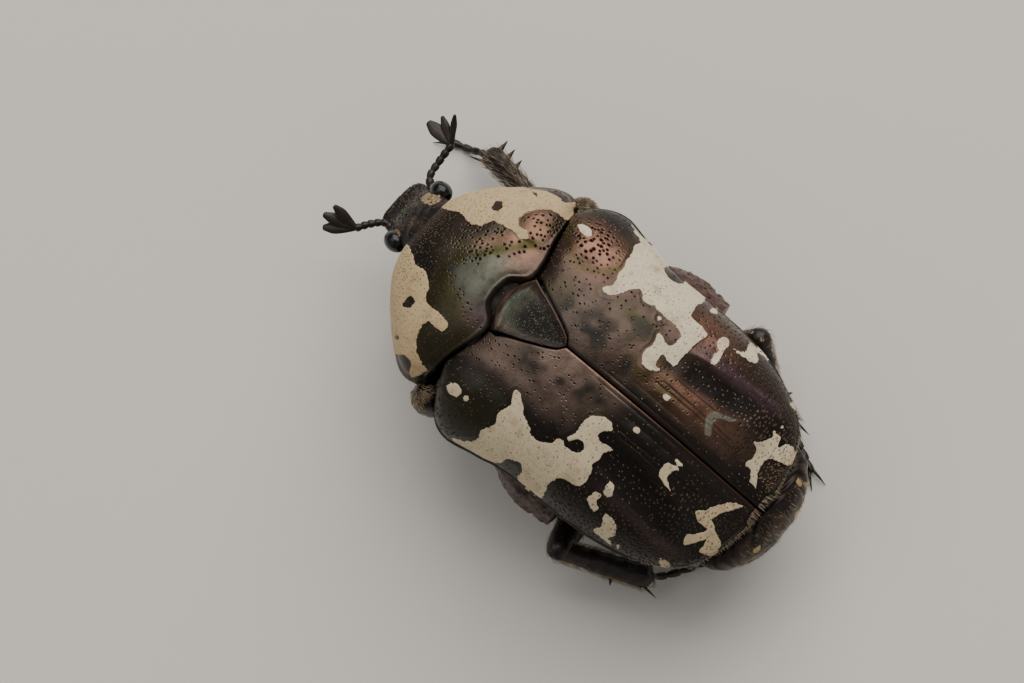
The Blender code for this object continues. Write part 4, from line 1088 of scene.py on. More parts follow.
def prothorax_rings():
    """Rings of the prothorax, each from the left side over the top and back underneath."""
    numbered = [(*row, k / (len(PROTHORAX) - 1)) for k, row in enumerate(PROTHORAX)]
    rings, ups = [], []
    for y, half, edge, crown, underside, share in fine_rows(numbered, PROTHORAX_ROWS):
        top = arch(half, edge, crown, PRONOTUM_POWER, TOP_COLUMNS)
        under = arch(half, edge, underside, FLANK_POWER, UNDER_COLUMNS)[-2:0:-1]
        curve = np.concatenate([top, under])
        up = np.clip((curve[:, 1] - edge) / (crown - edge), 0, 1) ** (PRONOTUM_POWER / 2)
        moved = np.interp(abs(curve[:, 0]), base_curve[:, 0], base_curve[:, 1]) - PROTHORAX[-1][0]
        place = y + share**BASE_FALL * moved * up**BASE_HOLD
        rings.append(np.stack([curve[:, 0], place, curve[:, 1]], axis=1))
        ups.append(up)
    return turned(np.array(rings), PROTHORAX_TURN, PROTHORAX_PIVOT), np.array(ups)


print("rows of the shield", len(PROTHORAX))

# %% [markdown]
# On the shield a slanted line parts the pitted front from the smooth middle, and another its lit right from
# the shaded left, which is painted dark, as shade, and olive. Along the first runs an olive band, and the
# disc behind it is grey-green, with a painted sheen that stops at the shade line. Rosy spots on the right,
# the lamp's side, are a painted sheen.

# %% Pits and colours of the prothorax
DISC = [(1.0, -0.05, 1.3, -3.45, 1.15)]
LINE_FROM, LINE_ACROSS = (0.1, -4.6), (0.629, 0.778)
SHADE_FROM, SHADE_SLOPE = (0.44, -4.66), 0.42
PINK_SHEEN_SPOTS = [(0.7, -1.45, 0.7, -3.0, 0.5), (1.0, -2.45, 0.5, -3.4, 0.45)]
PURPLE_SPOTS = [(0.7, 0.9, 0.6, -2.9, 0.4)]
SWELLINGS = [(0.03, -2.4, 0.6, -3.35, 0.5), (-0.03, -1.75, 0.15, -3.1, 0.6)]


def slanted(x, y):
    """How far behind the slanted line, and how far into the shade, each point of the shield lies."""
    from_line = (x - LINE_FROM[0]) * LINE_ACROSS[0] + (y - LINE_FROM[1]) * LINE_ACROSS[1]
    return from_line, x - SHADE_SLOPE * (y - SHADE_FROM[1]) - SHADE_FROM[0]


def shield_pits(plain, on_top, row, up, patch):
    """The pits of the shield: many in front and at the sides, and few on the smooth middle."""
    x, y = plain[:, :, 0], plain[:, :, 1]
    from_line, from_shade = slanted(x, y)
    smooth = rise(from_line, 0.15, 0.5) * (1 - rise(from_shade, -0.25, -0.05)) * (1 - rise(-x, 1.6, 2.0))
    coarse = rise(-x, -0.3, 0.3) * rise(y, -5.5, -4.9)
    coarse += 0.8 * bell(from_shade, -0.02, 0.15) * rise(y, -4.8, -4.4)
    pitted = on_top & (row < 0.97) & (row > 0.03) & (up > 0.2)
    chance = np.where(pitted, np.clip(0.8 - smooth, 0.02, 0.8), 0)
    radius = np.where(patch > 0, 0.023, 0.021 + 0.022 * coarse)
    return press_patched(plain, patch, chance, 0.16, radius, depth=0.05, seed=21)


def shield_colours(plain, on_top, row):
    """Where the shield is dark, olive, grey-green, rosy or purple, each from 0 to 1."""
    x, y = plain[:, :, 0], plain[:, :, 1]
    from_line, from_shade = slanted(x, y)
    disc = spots(DISC, x, y)
    mottle = 0.5 + 0.5 * ripple(plain, 0.8, 12)
    # Rosy spots and a band on the right, the lamp's side: a painted sheen.
    pink_sheen = spots(PINK_SHEEN_SPOTS, x, y) + 0.9 * bell(from_line, -0.35, 0.25) * bell(x, -1.3, 0.9)
    band = bell(from_line, 0, 0.17) * rise(-x, -0.5, 0.0) * (1 - rise(-x, 1.9, 2.3))
    olive = band * (0.3 + 0.9 * mottle) + 0.6 * mottle * bell(from_line, -0.5, 0.4) * rise(-x, -0.3, 0.3)
    olive += 0.75 * rise(from_shade, -0.3, 0.4)
    front = y + 0.5 * rise(-x, -0.2, 0.4)
    # The left, past the shade line, is painted dark, as shade.
    dark = 0.62 * rise(from_shade, -0.1, 0.7) + 0.7 * (1 - rise(front, -5.2, -4.7))
    dark += bell(row, 1.0, 0.02) + 0.9 * ~on_top
    front_grey = 0.7 * bell(from_line, -0.45, 0.3) * bell(x, -0.5, 0.6)
    # The smooth disc is painted lighter and grey-green, as a sheen, up to the shade line.
    return {
        "tone": np.full(x.shape, 0.8),
        "dark": np.clip(dark - 0.5 * disc, 0, 1),
        "olive": np.clip(olive, 0, 1) * on_top,
        "grey": np.clip(1.3 * disc * (1 - rise(from_shade, -0.2, 0.5)) + front_grey, 0, 1),
        "rosy": np.clip(pink_sheen, 0, 1),
        "purple": spots(PURPLE_SPOTS, x, y),
    }


def prothorax():
    """The shield behind the head."""
    plain, up = prothorax_rings()
    normal = normals_of(plain, True)
    on_top = np.arange(plain.shape[1])[None] < TOP_COLUMNS
    row = np.linspace(0, 1, PROTHORAX_ROWS)[:, None]
    patch = np.where(on_top, patch_depth(plain, PRONOTUM_OUTLINES, [], PRONOTUM_HOLES), -1.0)
    lower, pit = shield_pits(plain, on_top, row, up, patch)
    bead = 0.045 * bell(up, 0.07, 0.05) - 0.03 * bell(up, 0.20, 0.06)
    height = lower + 0.012 * ripple(plain, 1.0, 6) + np.where(on_top, bead, 0)
    height += spots(SWELLINGS, plain[:, :, 0], plain[:, :, 1]) + PATCH_RISE * rise(patch, *PATCH_STEP)
    height += 0.02 * on_top * bell(row, 0.975, 0.012)
    height -= 0.05 * on_top * bell(row, 1.0, 0.008)
    under_sculpt = 0.02 * ripple(plain, 0.5, 9) * ~on_top
    grid = plain + normal * (height + under_sculpt)[:, :, None]
    values = {"pit": pit, "patch": patch, **shield_colours(plain, on_top, row)}
    skins["prothorax"] = (grid, normal)
    add_piece("prothorax_shield", [ring_shape(grid, values)], back_finish, ["prothorax"])


prothorax()

# %% [markdown]
# The trunk under the wing cases is two lengths, thorax and abdomen. A ledge of it stands out beyond the rim
# of the wing cases and shows from above. The underside is ringed by plates that overlap like roof tiles,
# which one saw-tooth of height along the body gives. The corner at each shoulder is a hairy lobe.

# %% Make the trunk
THORAX = [
    (-2.50, 3.30, 3.70, 2.30), (-1.60, 3.85, 3.55, 1.80), (-0.60, 4.02, 3.45, 1.55), (0.15, 4.17, 3.40, 1.50),
    (0.60, 4.45, 3.38, 1.50), (1.40, 4.65, 3.35, 1.50), (2.15, 4.62, 3.30, 1.55), (2.60, 4.56, 3.33, 1.65),
]
ABDOMEN = [
    (2.65, 3.95, 3.60, 1.70), (3.60, 3.92, 3.55, 1.65), (4.60, 3.78, 3.50, 1.70), (5.50, 3.52, 3.50, 1.85),
    (6.30, 3.15, 3.52, 2.05), (7.15, 2.60, 3.60, 2.30),
]
LEDGE_INSET, LEDGE_HEIGHT = 0.1, 3.9
SHOULDER_LOBES = {LEFT: (3.92, -2.72, 4.25), RIGHT: (3.78, -2.72, 4.20)}
SHOULDER_LOBE_HALVES = (0.50, 0.60, 0.80)
PLATE_ENDS, PLATE_LENGTH, PLATE_STEP = [3.55, 4.35, 5.10, 5.80, 6.50, 7.30], 0.9, 0.07
SIDE_SPOT = (0.42, 0.16)
UNDER_POINTS, LEDGE_POINTS, HIDDEN_POINTS = 90, 16, 8


def trunk_rings(rows, count):
    """Rings of a length of the trunk: underside, ledge and the part hidden by the wing cases."""
    rings = []
    for y, flank, flank_height, underside in fine_rows(rows, count):
        half, margin, crown = section_at(SHELL, max(y, SHELL[0][0]))
        ledge = margin - SEAM
        across, down = rounded(np.linspace(0, math.pi / 2, FINE // 8), FLANK_POWER)
        under = np.stack([flank * across, flank_height - (flank_height - underside) * down], axis=1)
        inner = half - SHELL_THICKNESS
        rim = np.array([[flank, flank_height], [(flank + half) / 2, (flank_height + ledge) / 2 + 0.05],
                        [min(half - LEDGE_INSET, flank), ledge]])
        roof_angle = np.linspace(math.pi / 2, 0, HIDDEN_POINTS)
        roof_across, roof_up = rounded(roof_angle, SHELL_POWER)
        roof_height = ledge + (crown - 2 * SHELL_THICKNESS - ledge) * roof_up
        roof = np.stack([inner * roof_across, roof_height], axis=1)
        half_ring = np.concatenate([evenly(under, UNDER_POINTS), evenly(rim, LEDGE_POINTS)[1:], roof])
        ring = np.concatenate([half_ring, half_ring[-2:0:-1] * (-1, 1)])
        rings.append(np.insert(ring, 1, y, axis=1))
    return np.array(rings)


def egg(centre, halves, segments=48, rings=32):
    """A closed egg shape with upright axes."""
    polar = np.linspace(0.04, math.pi - 0.04, rings)[:, None]
    around = np.linspace(0, 2 * math.pi, segments, endpoint=False)[None]
    unit = np.stack([np.sin(polar) * np.cos(around), np.sin(polar) * np.sin(around),
                     np.cos(polar) * np.ones_like(around)], axis=2)
    return np.array(centre) + unit * np.array(halves)


def thorax():
    """The middle and hind breast with its side ledge, and the two shoulder lobes."""
    plain = trunk_rings(THORAX, 170)
    normal = normals_of(plain, True)
    x, y, z = abs(plain[:, :, 0]), plain[:, :, 1], plain[:, :, 2]
    under = z < 3.5
    lower, pit = press_pits(plain, 0.75 * (z < LEDGE_HEIGHT), spacing=0.24, radius=0.045, depth=0.04, seed=31)
    seam_lines = 0.06 * bell(x, 0, 0.05) * (z < 2.5) + 0.06 * bell(y - 0.12 * x, -0.95, 0.06) * under
    seam_lines += 0.06 * bell(y - 0.25 * x, 0.85, 0.06) * under * (x > 1.5)
    scaly = 0.02 * ripple(plain, 0.22, 16) * rise(z, 2.8, 3.2)
    grid = plain + normal * (lower - seam_lines + scaly + 0.015 * ripple(plain, 0.6, 14))[:, :, None]
    skins["thorax"] = (grid, normal)
    # The ledge gets a rose tint, painted four times as strong on the right, the lamp's side, as a sheen.
    rosy = 0.85 * rise(z, 2.9, 3.2) * rise(y, -0.8, 0.6) * np.where(plain[:, :, 0] < 0, 1.0, 0.25)
    shapes = [ring_shape(grid, {"pit": pit, "purple": rosy})]
    for side in (LEFT, RIGHT):
        cx, cy, cz = SHOULDER_LOBES[side]
        lobe = egg((side * cx, cy, cz), SHOULDER_LOBE_HALVES)
        lobe_normal = normals_of(lobe, True)
        lobe += lobe_normal * 0.02 * ripple(lobe, 0.25, 15)[:, :, None]
        skins[f"lobe_{SIDE_NAMES[side]}"] = (lobe, lobe_normal)
        depth = 0.10 - np.hypot(lobe[:, :, 1] - cy - 0.2, (lobe[:, :, 2] - cz) * 0.7 - 0.1)
        shapes.append(ring_shape(lobe, {"patch": np.where(abs(lobe[:, :, 0]) > cx, depth, -1.0)}))
    add_piece("breast", shapes, body_finish, ["thorax"])


def abdomen():
    """The belly, in overlapping plates with pale spots at their sides."""
    plain = trunk_rings(ABDOMEN, 190)
    normal = normals_of(plain, True)
    x, y, z = abs(plain[:, :, 0]), plain[:, :, 1], plain[:, :, 2]
    bend = y + 0.10 * x
    start = PLATE_ENDS[0] - PLATE_LENGTH
    tooth = np.zeros(x.shape)
    for end in PLATE_ENDS:
        tooth = np.where((bend > start) & (bend <= end), (bend - start) / (end - start), tooth)
        start = end
    step = PLATE_STEP * tooth**2 * (z < LEDGE_HEIGHT)
    chance = 0.6 * (z < LEDGE_HEIGHT)
    lower, pit = press_pits(plain, chance, spacing=0.24, radius=0.04, depth=0.035, seed=33, horseshoe=1.0)
    grid = plain + normal * (step + lower + 0.01 * ripple(plain, 0.6, 17))[:, :, None]
    patch = np.full(x.shape, -1.0)
    for end in PLATE_ENDS[:-1]:
        side_spot = depth_in_oval((3.05, end - 0.32, *SIDE_SPOT), z, bend - 0.10 * x)
        patch = np.maximum(patch, np.where(x > 2.2, side_spot, -1.0))
    skins["abdomen"] = (grid, normal)
    values = {"pit": pit, "patch": patch}
    add_piece("belly", [ring_shape(grid, values)], body_finish, ["abdomen"])


thorax()
abdomen()

# %% [markdown]
# The pygidium is the last plate of the back, the one that shows behind the wing cases. Fine wrinkles run
# across it, and two pale patches lie at its sides.

# %% Make the pygidium
PYGIDIUM = [
    (7.10, 2.45, 3.45, 4.05, 2.42), (7.55, 2.32, 3.45, 4.35, 2.25), (7.90, 2.05, 3.40, 4.40, 2.22),
    (8.20, 1.62, 3.35, 4.20, 2.32), (8.42, 1.10, 3.30, 3.92, 2.58), (8.55, 0.50, 3.30, 3.60, 2.95),
]
WRINKLE_DEPTH, WRINKLE_STEP = 0.018, 0.55
PYGIDIUM_SPOTS = [(-1.15, 8.62, 0.24, 0.10), (1.35, 8.30, 0.14, 0.22)]


def oval_rings(rows, count, columns, power):
    """Rings of a body whose sections are rounded above and below a middle line."""
    rings = []
    for y, half, middle, top, bottom in fine_rows(rows, count):
        over = arch(half, middle, top, power, columns)
        under = arch(half, middle, bottom, power, columns)[-2:0:-1]
        rings.append(np.insert(np.concatenate([over, under]), 1, y, axis=1))
    return np.array(rings)


def pygidium():
    """The last plate of the back."""
    plain = oval_rings(PYGIDIUM, 110, 150, 2.0)
    normal = normals_of(plain, True)
    x, y, z = np.moveaxis(plain, 2, 0)
    phase = (z * 1.3 + y * 2.2 + 0.25 * ripple(plain, 0.9, 19)) / WRINKLE_STEP
    wrinkle = WRINKLE_DEPTH * np.sin(2 * math.pi * phase)
    height = wrinkle * rise(y, 7.4, 7.7) - 0.03 * bell(abs(x), 0, 0.3) * (y > 7.6)
    grid = plain + normal * height[:, :, None]
    across, along = as_seen(grid)
    border = np.where(y > 7.75, 0.075 - abs(z - 3.42), -1.0)
    pale = np.maximum.reduce([depth_in_oval(oval, across, along) for oval in PYGIDIUM_SPOTS] + [border])
    patch = pale - 0.03 + 0.05 * ripple(plain, 0.35, 20)
    # The troughs of the wrinkles count a little as pits, which the finish paints gold in this dark plate, as
    # a glint.
    values = {"pit": np.clip(-wrinkle / WRINKLE_DEPTH, 0, 1) * 0.3, "patch": np.where(z > 3.2, patch, -1.0),
              "tone": np.ones(x.shape), "dark": np.full(x.shape, 0.75)}
    skins["pygidium"] = (grid, normal)
    add_piece("tail_plate", [ring_shape(grid, values)], back_finish, ["pygidium"])


pygidium()

# %% [markdown]
# The head slopes down in front of the shield, so from above it looks short. Its front is a flat scoop with
# a raised edge, the clypeus, densely pitted. Tan scales lie beside each eye. The eyes are nearly round and
# sit half sunk in the sides.

# %% Make the head and the eyes
HEAD = [
    (-0.30, 0.80, 0.50, 0.75), (0.10, 0.95, 0.58, 0.90), (0.50, 1.05, 0.60, 1.00), (0.90, 1.06, 0.56, 1.00),
    (1.30, 0.95, 0.48, 0.85), (1.65, 0.92, 0.38, 0.62), (1.92, 0.91, 0.36, 0.40), (2.04, 0.88, 0.38, 0.30),
    (2.12, 0.80, 0.32, 0.20),
]
NECK = (-0.33, -6.12, 4.60)
HEAD_PITCH, HEAD_TURN = math.radians(45), math.radians(-3)
EYE_PLACE, EYE_RADII = (1.08, 0.80, 0.20), (0.34, 0.42, 0.38)
CHEEK_SCALES = [(-0.68, 0.56, 0.27, 0.42), (0.86, 0.72, 0.10, 0.22)]
head_turn = Matrix.Rotation(HEAD_TURN, 4, "Z") @ Matrix.Rotation(HEAD_PITCH, 4, "X")
head_matrix = np.array(Matrix.Translation(NECK) @ head_turn @ Matrix.Diagonal((1, -1, 1, 1)))


def on_head(points):
    """Points of the head's own frame, x to its left, y to its front and z up from its face."""
    return points @ head_matrix[:3, :3].T + head_matrix[:3, 3]


def head():
    """The head with its scoop-shaped clypeus."""
    rows = [(y, half, 0.0, above, -below) for y, half, above, below in HEAD]
    own = oval_rings(rows, 150, 130, 2.8)
    own_normal = normals_of(own, True)
    x, y, z = np.moveaxis(own, 2, 0)
    half = np.interp(y, [row[0] for row in HEAD], [row[1] for row in HEAD])
    on_top = z > 0.02
    edge = rise(abs(x) / half, 0.80, 0.95) * rise(y, 1.1, 1.5) + rise(y, 1.95, 2.1)
    scoop = 0.10 * bell(y, 1.68, 0.28) * bell(x, 0.0, 0.60)
    chance = np.where(on_top, 0.95, 0.5) * (y > 0.3)
    lower, pit = press_pits(own, chance, spacing=0.13, radius=0.034, depth=0.035, seed=41)
    height = lower + (0.05 * np.clip(edge, 0, 1) - scoop) * on_top + 0.012 * ripple(own, 0.4, 43)
    height += 0.05 * on_top * bell(x, 0, 0.25) * bell(y, 0.9, 0.45)
    own = own + own_normal * height[:, :, None]
    scales = np.maximum(*(depth_in_oval(oval, x, y) for oval in CHEEK_SCALES))
    grid = on_head(own)
    skins["head"] = (grid, normals_of(grid, True))
    values = {"pit": pit, "patch": np.where(on_top, scales, -1.0)}
    add_piece("head_capsule", [ring_shape(grid, values)], body_finish, ["head"])


def eye(side):
    """One compound eye."""
    x, y, z = EYE_PLACE
    shape = ring_shape(on_head(egg((side * x, y, z), EYE_RADII, 96, 64)))
    add_piece(f"facets_{SIDE_NAMES[side]}", [shape], eye_finish, [f"eye_{SIDE_NAMES[side]}"])


head()
for side in (LEFT, RIGHT):
    eye(side)

# %% [markdown]
# Limbs are tubes along a bent line with rounded ends. The solids keep the thin ones half a millimetre
# thick, and here they get their real thickness along the same line. A width function swells a tube at its
# joints, which makes the beads of a foot or a feeler, and thin cones make teeth, spurs and claws.

# %% Tubes and cones
def tube(rows, count, sides=20, widths=None):
    """Rings through rows of x, y, z, half width and half height, with round ends, never below the floor."""
    rows = fine_rows(rows, count)
    centre = rows[:, :3]
    ahead = np.gradient(centre, axis=0)
    ahead /= np.linalg.norm(ahead, axis=1, keepdims=True)
    side = np.cross(ahead, (0, 0, 1))
    side /= np.maximum(np.linalg.norm(side, axis=1, keepdims=True), 1e-6)
    up = np.cross(side, ahead)
    swell = np.ones(count) if widths is None else widths(np.linspace(0, 1, count))
    around = np.linspace(0, 2 * math.pi, sides, endpoint=False)
    cap = np.array([0.97, 0.75, 0.45]) * math.pi / 2
    stations = [(0, -math.sin(a), math.cos(a)) for a in cap] + [(k, 0, 1) for k in range(count)]
    stations += [(count - 1, math.sin(a), math.cos(a)) for a in cap[::-1]]
    rings = []
    for k, reach, width in stations:
        half_width, half_height = rows[k, 3:] * swell[k]
        across = side[k] * half_width * width * np.cos(around)[:, None]
        upward = up[k] * half_height * width * np.sin(around)[:, None]
        rings.append(centre[k] + ahead[k] * reach * min(half_width, half_height) + across + upward)
    grid = np.array(rings)
    grid[:, :, 2] = np.maximum(grid[:, :, 2], 0)
    return grid


def spike(root, tip, radius, sag=0.0, sides=10):
    """A thin tapered spine from root to tip, whose middle may be raised by sag."""
    root, tip = np.array(root, float), np.array(tip, float)
    middle = (root + tip) / 2 + (0, 0, sag)
    stations = ((root, 1), (middle, 0.7), (tip, 0.12))
    rows = [(*place, radius * share, radius * share) for place, share in stations]
    return ring_shape(tube(rows, 12, sides))


def beads(number, waist):
    """A width function with this many segments, each widening towards its end."""
    def widths(share):
        place = share * number % 1.0
        return waist + (1 - waist) * np.sin(np.clip(place * 1.15, 0, 1) * math.pi * 0.62) ** 1.5
    return widths


# %% [markdown]
# Each leg has a hip, a flattened thigh, a shin with teeth and spurs, a five-jointed foot and two hooked
# claws. The front shins are broader, with three teeth for digging. The six feet lie flat on the floor.

# %% Sizes of the legs
FRONT_COXA = [(0.70, -3.75, 2.70, 0.42, 0.42), (0.95, -3.85, 2.00, 0.50, 0.50),
              (1.15, -3.95, 1.35, 0.42, 0.42)]
MIDDLE_COXA = [(0.80, -0.55, 2.10, 0.45, 0.45), (1.05, -0.52, 1.60, 0.52, 0.50),
               (1.30, -0.50, 1.15, 0.42, 0.38)]
HIND_COXA = [(0.75, 1.95, 2.20, 0.50, 0.50), (1.05, 2.05, 1.60, 0.58, 0.50), (1.40, 2.20, 1.05, 0.45, 0.38)]
LEGS = {
    ("front", RIGHT): [
        FRONT_COXA,
        [(1.15, -3.95, 1.55, 0.36, 0.34), (2.20, -4.10, 1.70, 0.42, 0.38), (3.15, -4.35, 2.30, 0.36, 0.34)],
        [(3.15, -4.35, 2.32, 0.30, 0.28), (3.40, -5.60, 1.85, 0.34, 0.28), (3.58, -6.78, 1.20, 0.38, 0.28)],
        [(3.57, -6.75, 1.20), (3.50, -7.25, 0.65), (3.36, -7.75, 0.25), (3.20, -8.30, 0.22)],
    ],
    ("front", LEFT): [
        FRONT_COXA,
        [(1.15, -3.95, 1.55, 0.36, 0.34), (2.00, -3.95, 1.60, 0.42, 0.38), (2.75, -3.95, 2.05, 0.36, 0.34)],
        [(2.75, -3.95, 2.07, 0.30, 0.28), (2.35, -4.80, 1.45, 0.34, 0.28), (1.95, -5.55, 0.85, 0.38, 0.28)],
        [(1.95, -5.52, 0.85), (1.65, -5.95, 0.40), (1.25, -6.35, 0.22), (0.75, -6.70, 0.22)],
    ],
    ("middle", RIGHT): [
        MIDDLE_COXA,
        [(1.20, -0.50, 1.25, 0.36, 0.32), (2.60, -0.60, 1.42, 0.45, 0.38), (3.65, -0.70, 2.00, 0.36, 0.34)],
        [(3.65, -0.70, 2.02, 0.30, 0.28), (3.85, 0.40, 1.40, 0.32, 0.28), (3.90, 1.45, 0.80, 0.36, 0.28)],
        [(3.90, 1.42, 0.80), (3.92, 1.90, 0.40), (3.88, 2.60, 0.22), (3.78, 3.40, 0.22)],
    ],
    ("middle", LEFT): [
        MIDDLE_COXA,
        [(1.20, -0.50, 1.25, 0.36, 0.32), (2.60, -0.50, 1.42, 0.45, 0.38), (3.65, -0.50, 2.00, 0.36, 0.34)],
        [(3.65, -0.50, 2.02, 0.30, 0.28), (3.75, 0.55, 1.40, 0.32, 0.28), (3.70, 1.50, 0.80, 0.36, 0.28)],
        [(3.70, 1.47, 0.80), (3.70, 1.95, 0.40), (3.62, 2.60, 0.22), (3.50, 3.30, 0.22)],
    ],
    ("hind", RIGHT): [
        HIND_COXA,
        [(1.25, 2.12, 1.15, 0.40, 0.34), (3.00, 2.95, 1.30, 0.56, 0.40), (4.38, 3.92, 2.30, 0.42, 0.38)],
        [(4.38, 3.92, 2.32, 0.32, 0.30), (3.45, 5.05, 1.60, 0.36, 0.30), (2.95, 6.15, 0.90, 0.42, 0.32)],
        [(2.97, 6.11, 0.92), (2.85, 6.55, 0.42), (2.62, 7.05, 0.22), (2.32, 7.65, 0.22)],
    ],
    ("hind", LEFT): [
        HIND_COXA,
        [(1.25, 2.12, 1.15, 0.40, 0.34), (3.20, 2.75, 1.25, 0.56, 0.40), (4.88, 3.26, 2.30, 0.42, 0.38)],
        [(4.88, 3.28, 2.32, 0.32, 0.30), (4.32, 4.55, 1.65, 0.36, 0.30), (3.75, 5.75, 0.95, 0.42, 0.32)],
        [(3.76, 5.70, 0.95), (3.36, 6.15, 0.44), (2.75, 6.55, 0.22), (2.05, 6.95, 0.22)],
    ],
}
TEETH = {
    "front": [(0.62, 0.22), (0.80, 0.30), (0.97, 0.32)], "middle": [(0.60, 0.16)], "hind": [(0.62, 0.18)],
}
SPURS = {"front": [-0.28], "middle": [-0.28, 0.26], "hind": [-0.30, 0.29]}
FOOT_HALF, FOOT_LOWER = 0.13, 0.09
TOOTH_RADIUS, TOOTH_LEAN = 0.14, 0.5
SPUR_RADIUS, SPUR_LENGTH, SPUR_SPREAD = 0.055, 0.62, 2.0
CLAW_RADIUS, CLAW_LENGTH, CLAW_SPREAD, CLAW_ROOT, CLAW_ARCH = 0.055, 0.60, 0.24, 0.3, 0.09

print("legs", [f"{pair} {SIDE_NAMES[side]}" for pair, side in LEGS])

# %% [markdown]
# Every leg comes from the same four steps, so a loop over the table makes them all. Pale spots mark a knee.

# %% Make the legs
LIMB_GRIDS = {"coxa": (40, 40), "femur": (90, 56), "tibia": (90, 48)}
KNEE_SPOTS = [(4.02, 4.53, 0.08, 0.11), (4.03, 4.15, 0.06, 0.08)]


def sculpted(grid, seed):
    """A limb's tube with pits and a slight unevenness, as a shape."""
    normal = normals_of(grid, True)
    lower, pit = press_pits(grid, chance=0.6, spacing=0.2, radius=0.035, depth=0.035, seed=seed)
    grid = grid + normal * (lower + 0.012 * ripple(grid, 0.5, seed))[:, :, None]
    grid[:, :, 2] = np.maximum(grid[:, :, 2], 0)
    patch = np.where(normal[:, :, 2] > 0, patch_depth(grid, [], KNEE_SPOTS, []), -1.0)
    return ring_shape(grid, {"pit": pit, "patch": patch}), (grid, normal)


def tibia_spines(pair, side, rows):
    """Teeth along a shin's outer edge and spurs at its end."""
    start, middle, end = (np.array(row[:3]) for row in rows)
    ahead = (end - start) / np.linalg.norm(end - start)
    outward = np.cross(ahead, (0, 0, 1))
    outward *= np.sign(outward[0] * side) / np.linalg.norm(outward)
    half_width = rows[-1][3]
    spines = []
    for share, length in TEETH[pair]:
        root = middle + (end - middle) * (2 * share - 1)
        tip = root + outward * (half_width + length) + ahead * length * TOOTH_LEAN
        spines.append(spike(root, tip, TOOTH_RADIUS))
    for across in SPURS[pair]:
        tip = end + ahead * SPUR_LENGTH + outward * across * SPUR_SPREAD
        spines.append(spike(end + outward * across, tip, SPUR_RADIUS))
    return spines


def foot(side, points):
    """The five joints of a foot with its two claws, lying on the floor."""
    placed = [(side * x, y, max(z - FOOT_LOWER, FOOT_HALF), FOOT_HALF, FOOT_HALF) for x, y, z in points]
    placed[0] = (side * points[0][0], points[0][1], points[0][2], FOOT_HALF, FOOT_HALF)
    shapes = [ring_shape(tube(placed, 110, 18, beads(5, 0.6)))]
    before, end = np.array(placed[-2][:3]), np.array(placed[-1][:3])
    ahead = (end - before) * (1, 1, 0)
    ahead /= np.linalg.norm(ahead)
    outward = np.cross(ahead, (0, 0, 1))
    for across in (-CLAW_SPREAD, CLAW_SPREAD):
        tip = end + ahead * CLAW_LENGTH + outward * across
        tip[2] = CLAW_RADIUS * 0.2
        shapes.append(spike(end + outward * across * CLAW_ROOT, tip, CLAW_RADIUS, CLAW_ARCH))
    return shapes


def leg(pair, side):
    """One leg, in four pieces that run into one another."""
    coxa, femur, tibia, tarsus = LEGS[pair, side]
    name = f"{pair}_{SIDE_NAMES[side]}"
    seed = 50 + 2 * list(LEGS).index((pair, side))
    for part, rows in (("coxa", coxa), ("femur", femur), ("tibia", tibia)):
        placed = [(side * row[0], *row[1:]) for row in rows]
        shape, skins[f"{name}_{part}"] = sculpted(tube(placed, *LIMB_GRIDS[part]), seed)
        shapes = [shape] + (tibia_spines(pair, side, placed) if part == "tibia" else [])
        add_piece(f"{part}_{name}", shapes, limb_finish, [f"{name}_{part}"])
    add_piece(f"foot_{name}", foot(side, tarsus), limb_finish, [f"{name}_tarsus"])


for pair, side in LEGS:
    leg(pair, side)

# %% [markdown]
# A feeler is a jointed stalk with a fan of three leaves at its end, the club. The leaves are thin blades,
# spread on the right side and nearly closed on the left one.

# %% Make the feelers
STALKS = {
    RIGHT: [(-1.25, -7.00, 3.80), (-1.62, -7.45, 3.70), (-2.20, -7.56, 3.63), (-2.86, -7.60, 3.62)],
    LEFT: [(0.50, -7.10, 3.72), (0.42, -7.60, 3.60), (0.74, -7.98, 3.53), (1.15, -8.27, 3.50)],
}
LEAF_TIPS = {
    RIGHT: [(-2.96, -8.66, 3.50, 0.23), (-3.36, -8.39, 3.70, 0.14), (-3.63, -8.07, 3.95, 0.11)],
    LEFT: [(1.78, -9.10, 3.40, 0.20), (1.46, -9.32, 3.58, 0.20), (1.06, -9.18, 3.85, 0.17)],
}
STALK_HALF, LEAF_ROOT, LEAF_THICKNESS = 0.135, 0.09, 0.06
LEAF_SIZES = [(0.35, 0.85, 1.0), (0.7, 1.0, 1.0), (1.0, 0.5, 0.8)]


def feeler(side):
    """One feeler: the stalk and the club."""
    name = f"antenna_{SIDE_NAMES[side]}"
    rows = [(*place, STALK_HALF, STALK_HALF) for place in STALKS[side]]
    rows[0] = (*STALKS[side][0], STALK_HALF * 1.35, STALK_HALF * 1.35)
    stalk = ring_shape(tube(rows, 130, 24, beads(7, 0.72)))
    add_piece(f"feeler_stalk_{SIDE_NAMES[side]}", [stalk], limb_finish, [f"{name}_stalk"])
    root = np.array(STALKS[side][-1])
    leaves = []
    for x, y, z, half in LEAF_TIPS[side]:
        tip = np.array((x, y, z))
        rows = [(*root, LEAF_ROOT, LEAF_ROOT)]
        rows += [(*(root + (tip - root) * share), half * width, LEAF_THICKNESS * thick)
                 for share, width, thick in LEAF_SIZES]
        leaves.append(ring_shape(tube(rows, 60, 32)))
    add_piece(f"feeler_club_{SIDE_NAMES[side]}", leaves, limb_finish, [f"{name}_club"])


for side in (LEFT, RIGHT):
    feeler(side)

# %% [markdown]
# Short pale hairs fringe the plates and limbs. Blender's particle hair would be lost in an exported model,
# so each hair is a thin three-sided blade of mesh. It stands on a point of the skin below it, leans along
# the body or the limb and bends over. Its texture patch lies at its root's place on the unrolled skin, so
# that a bake keeps each hair's own colour.

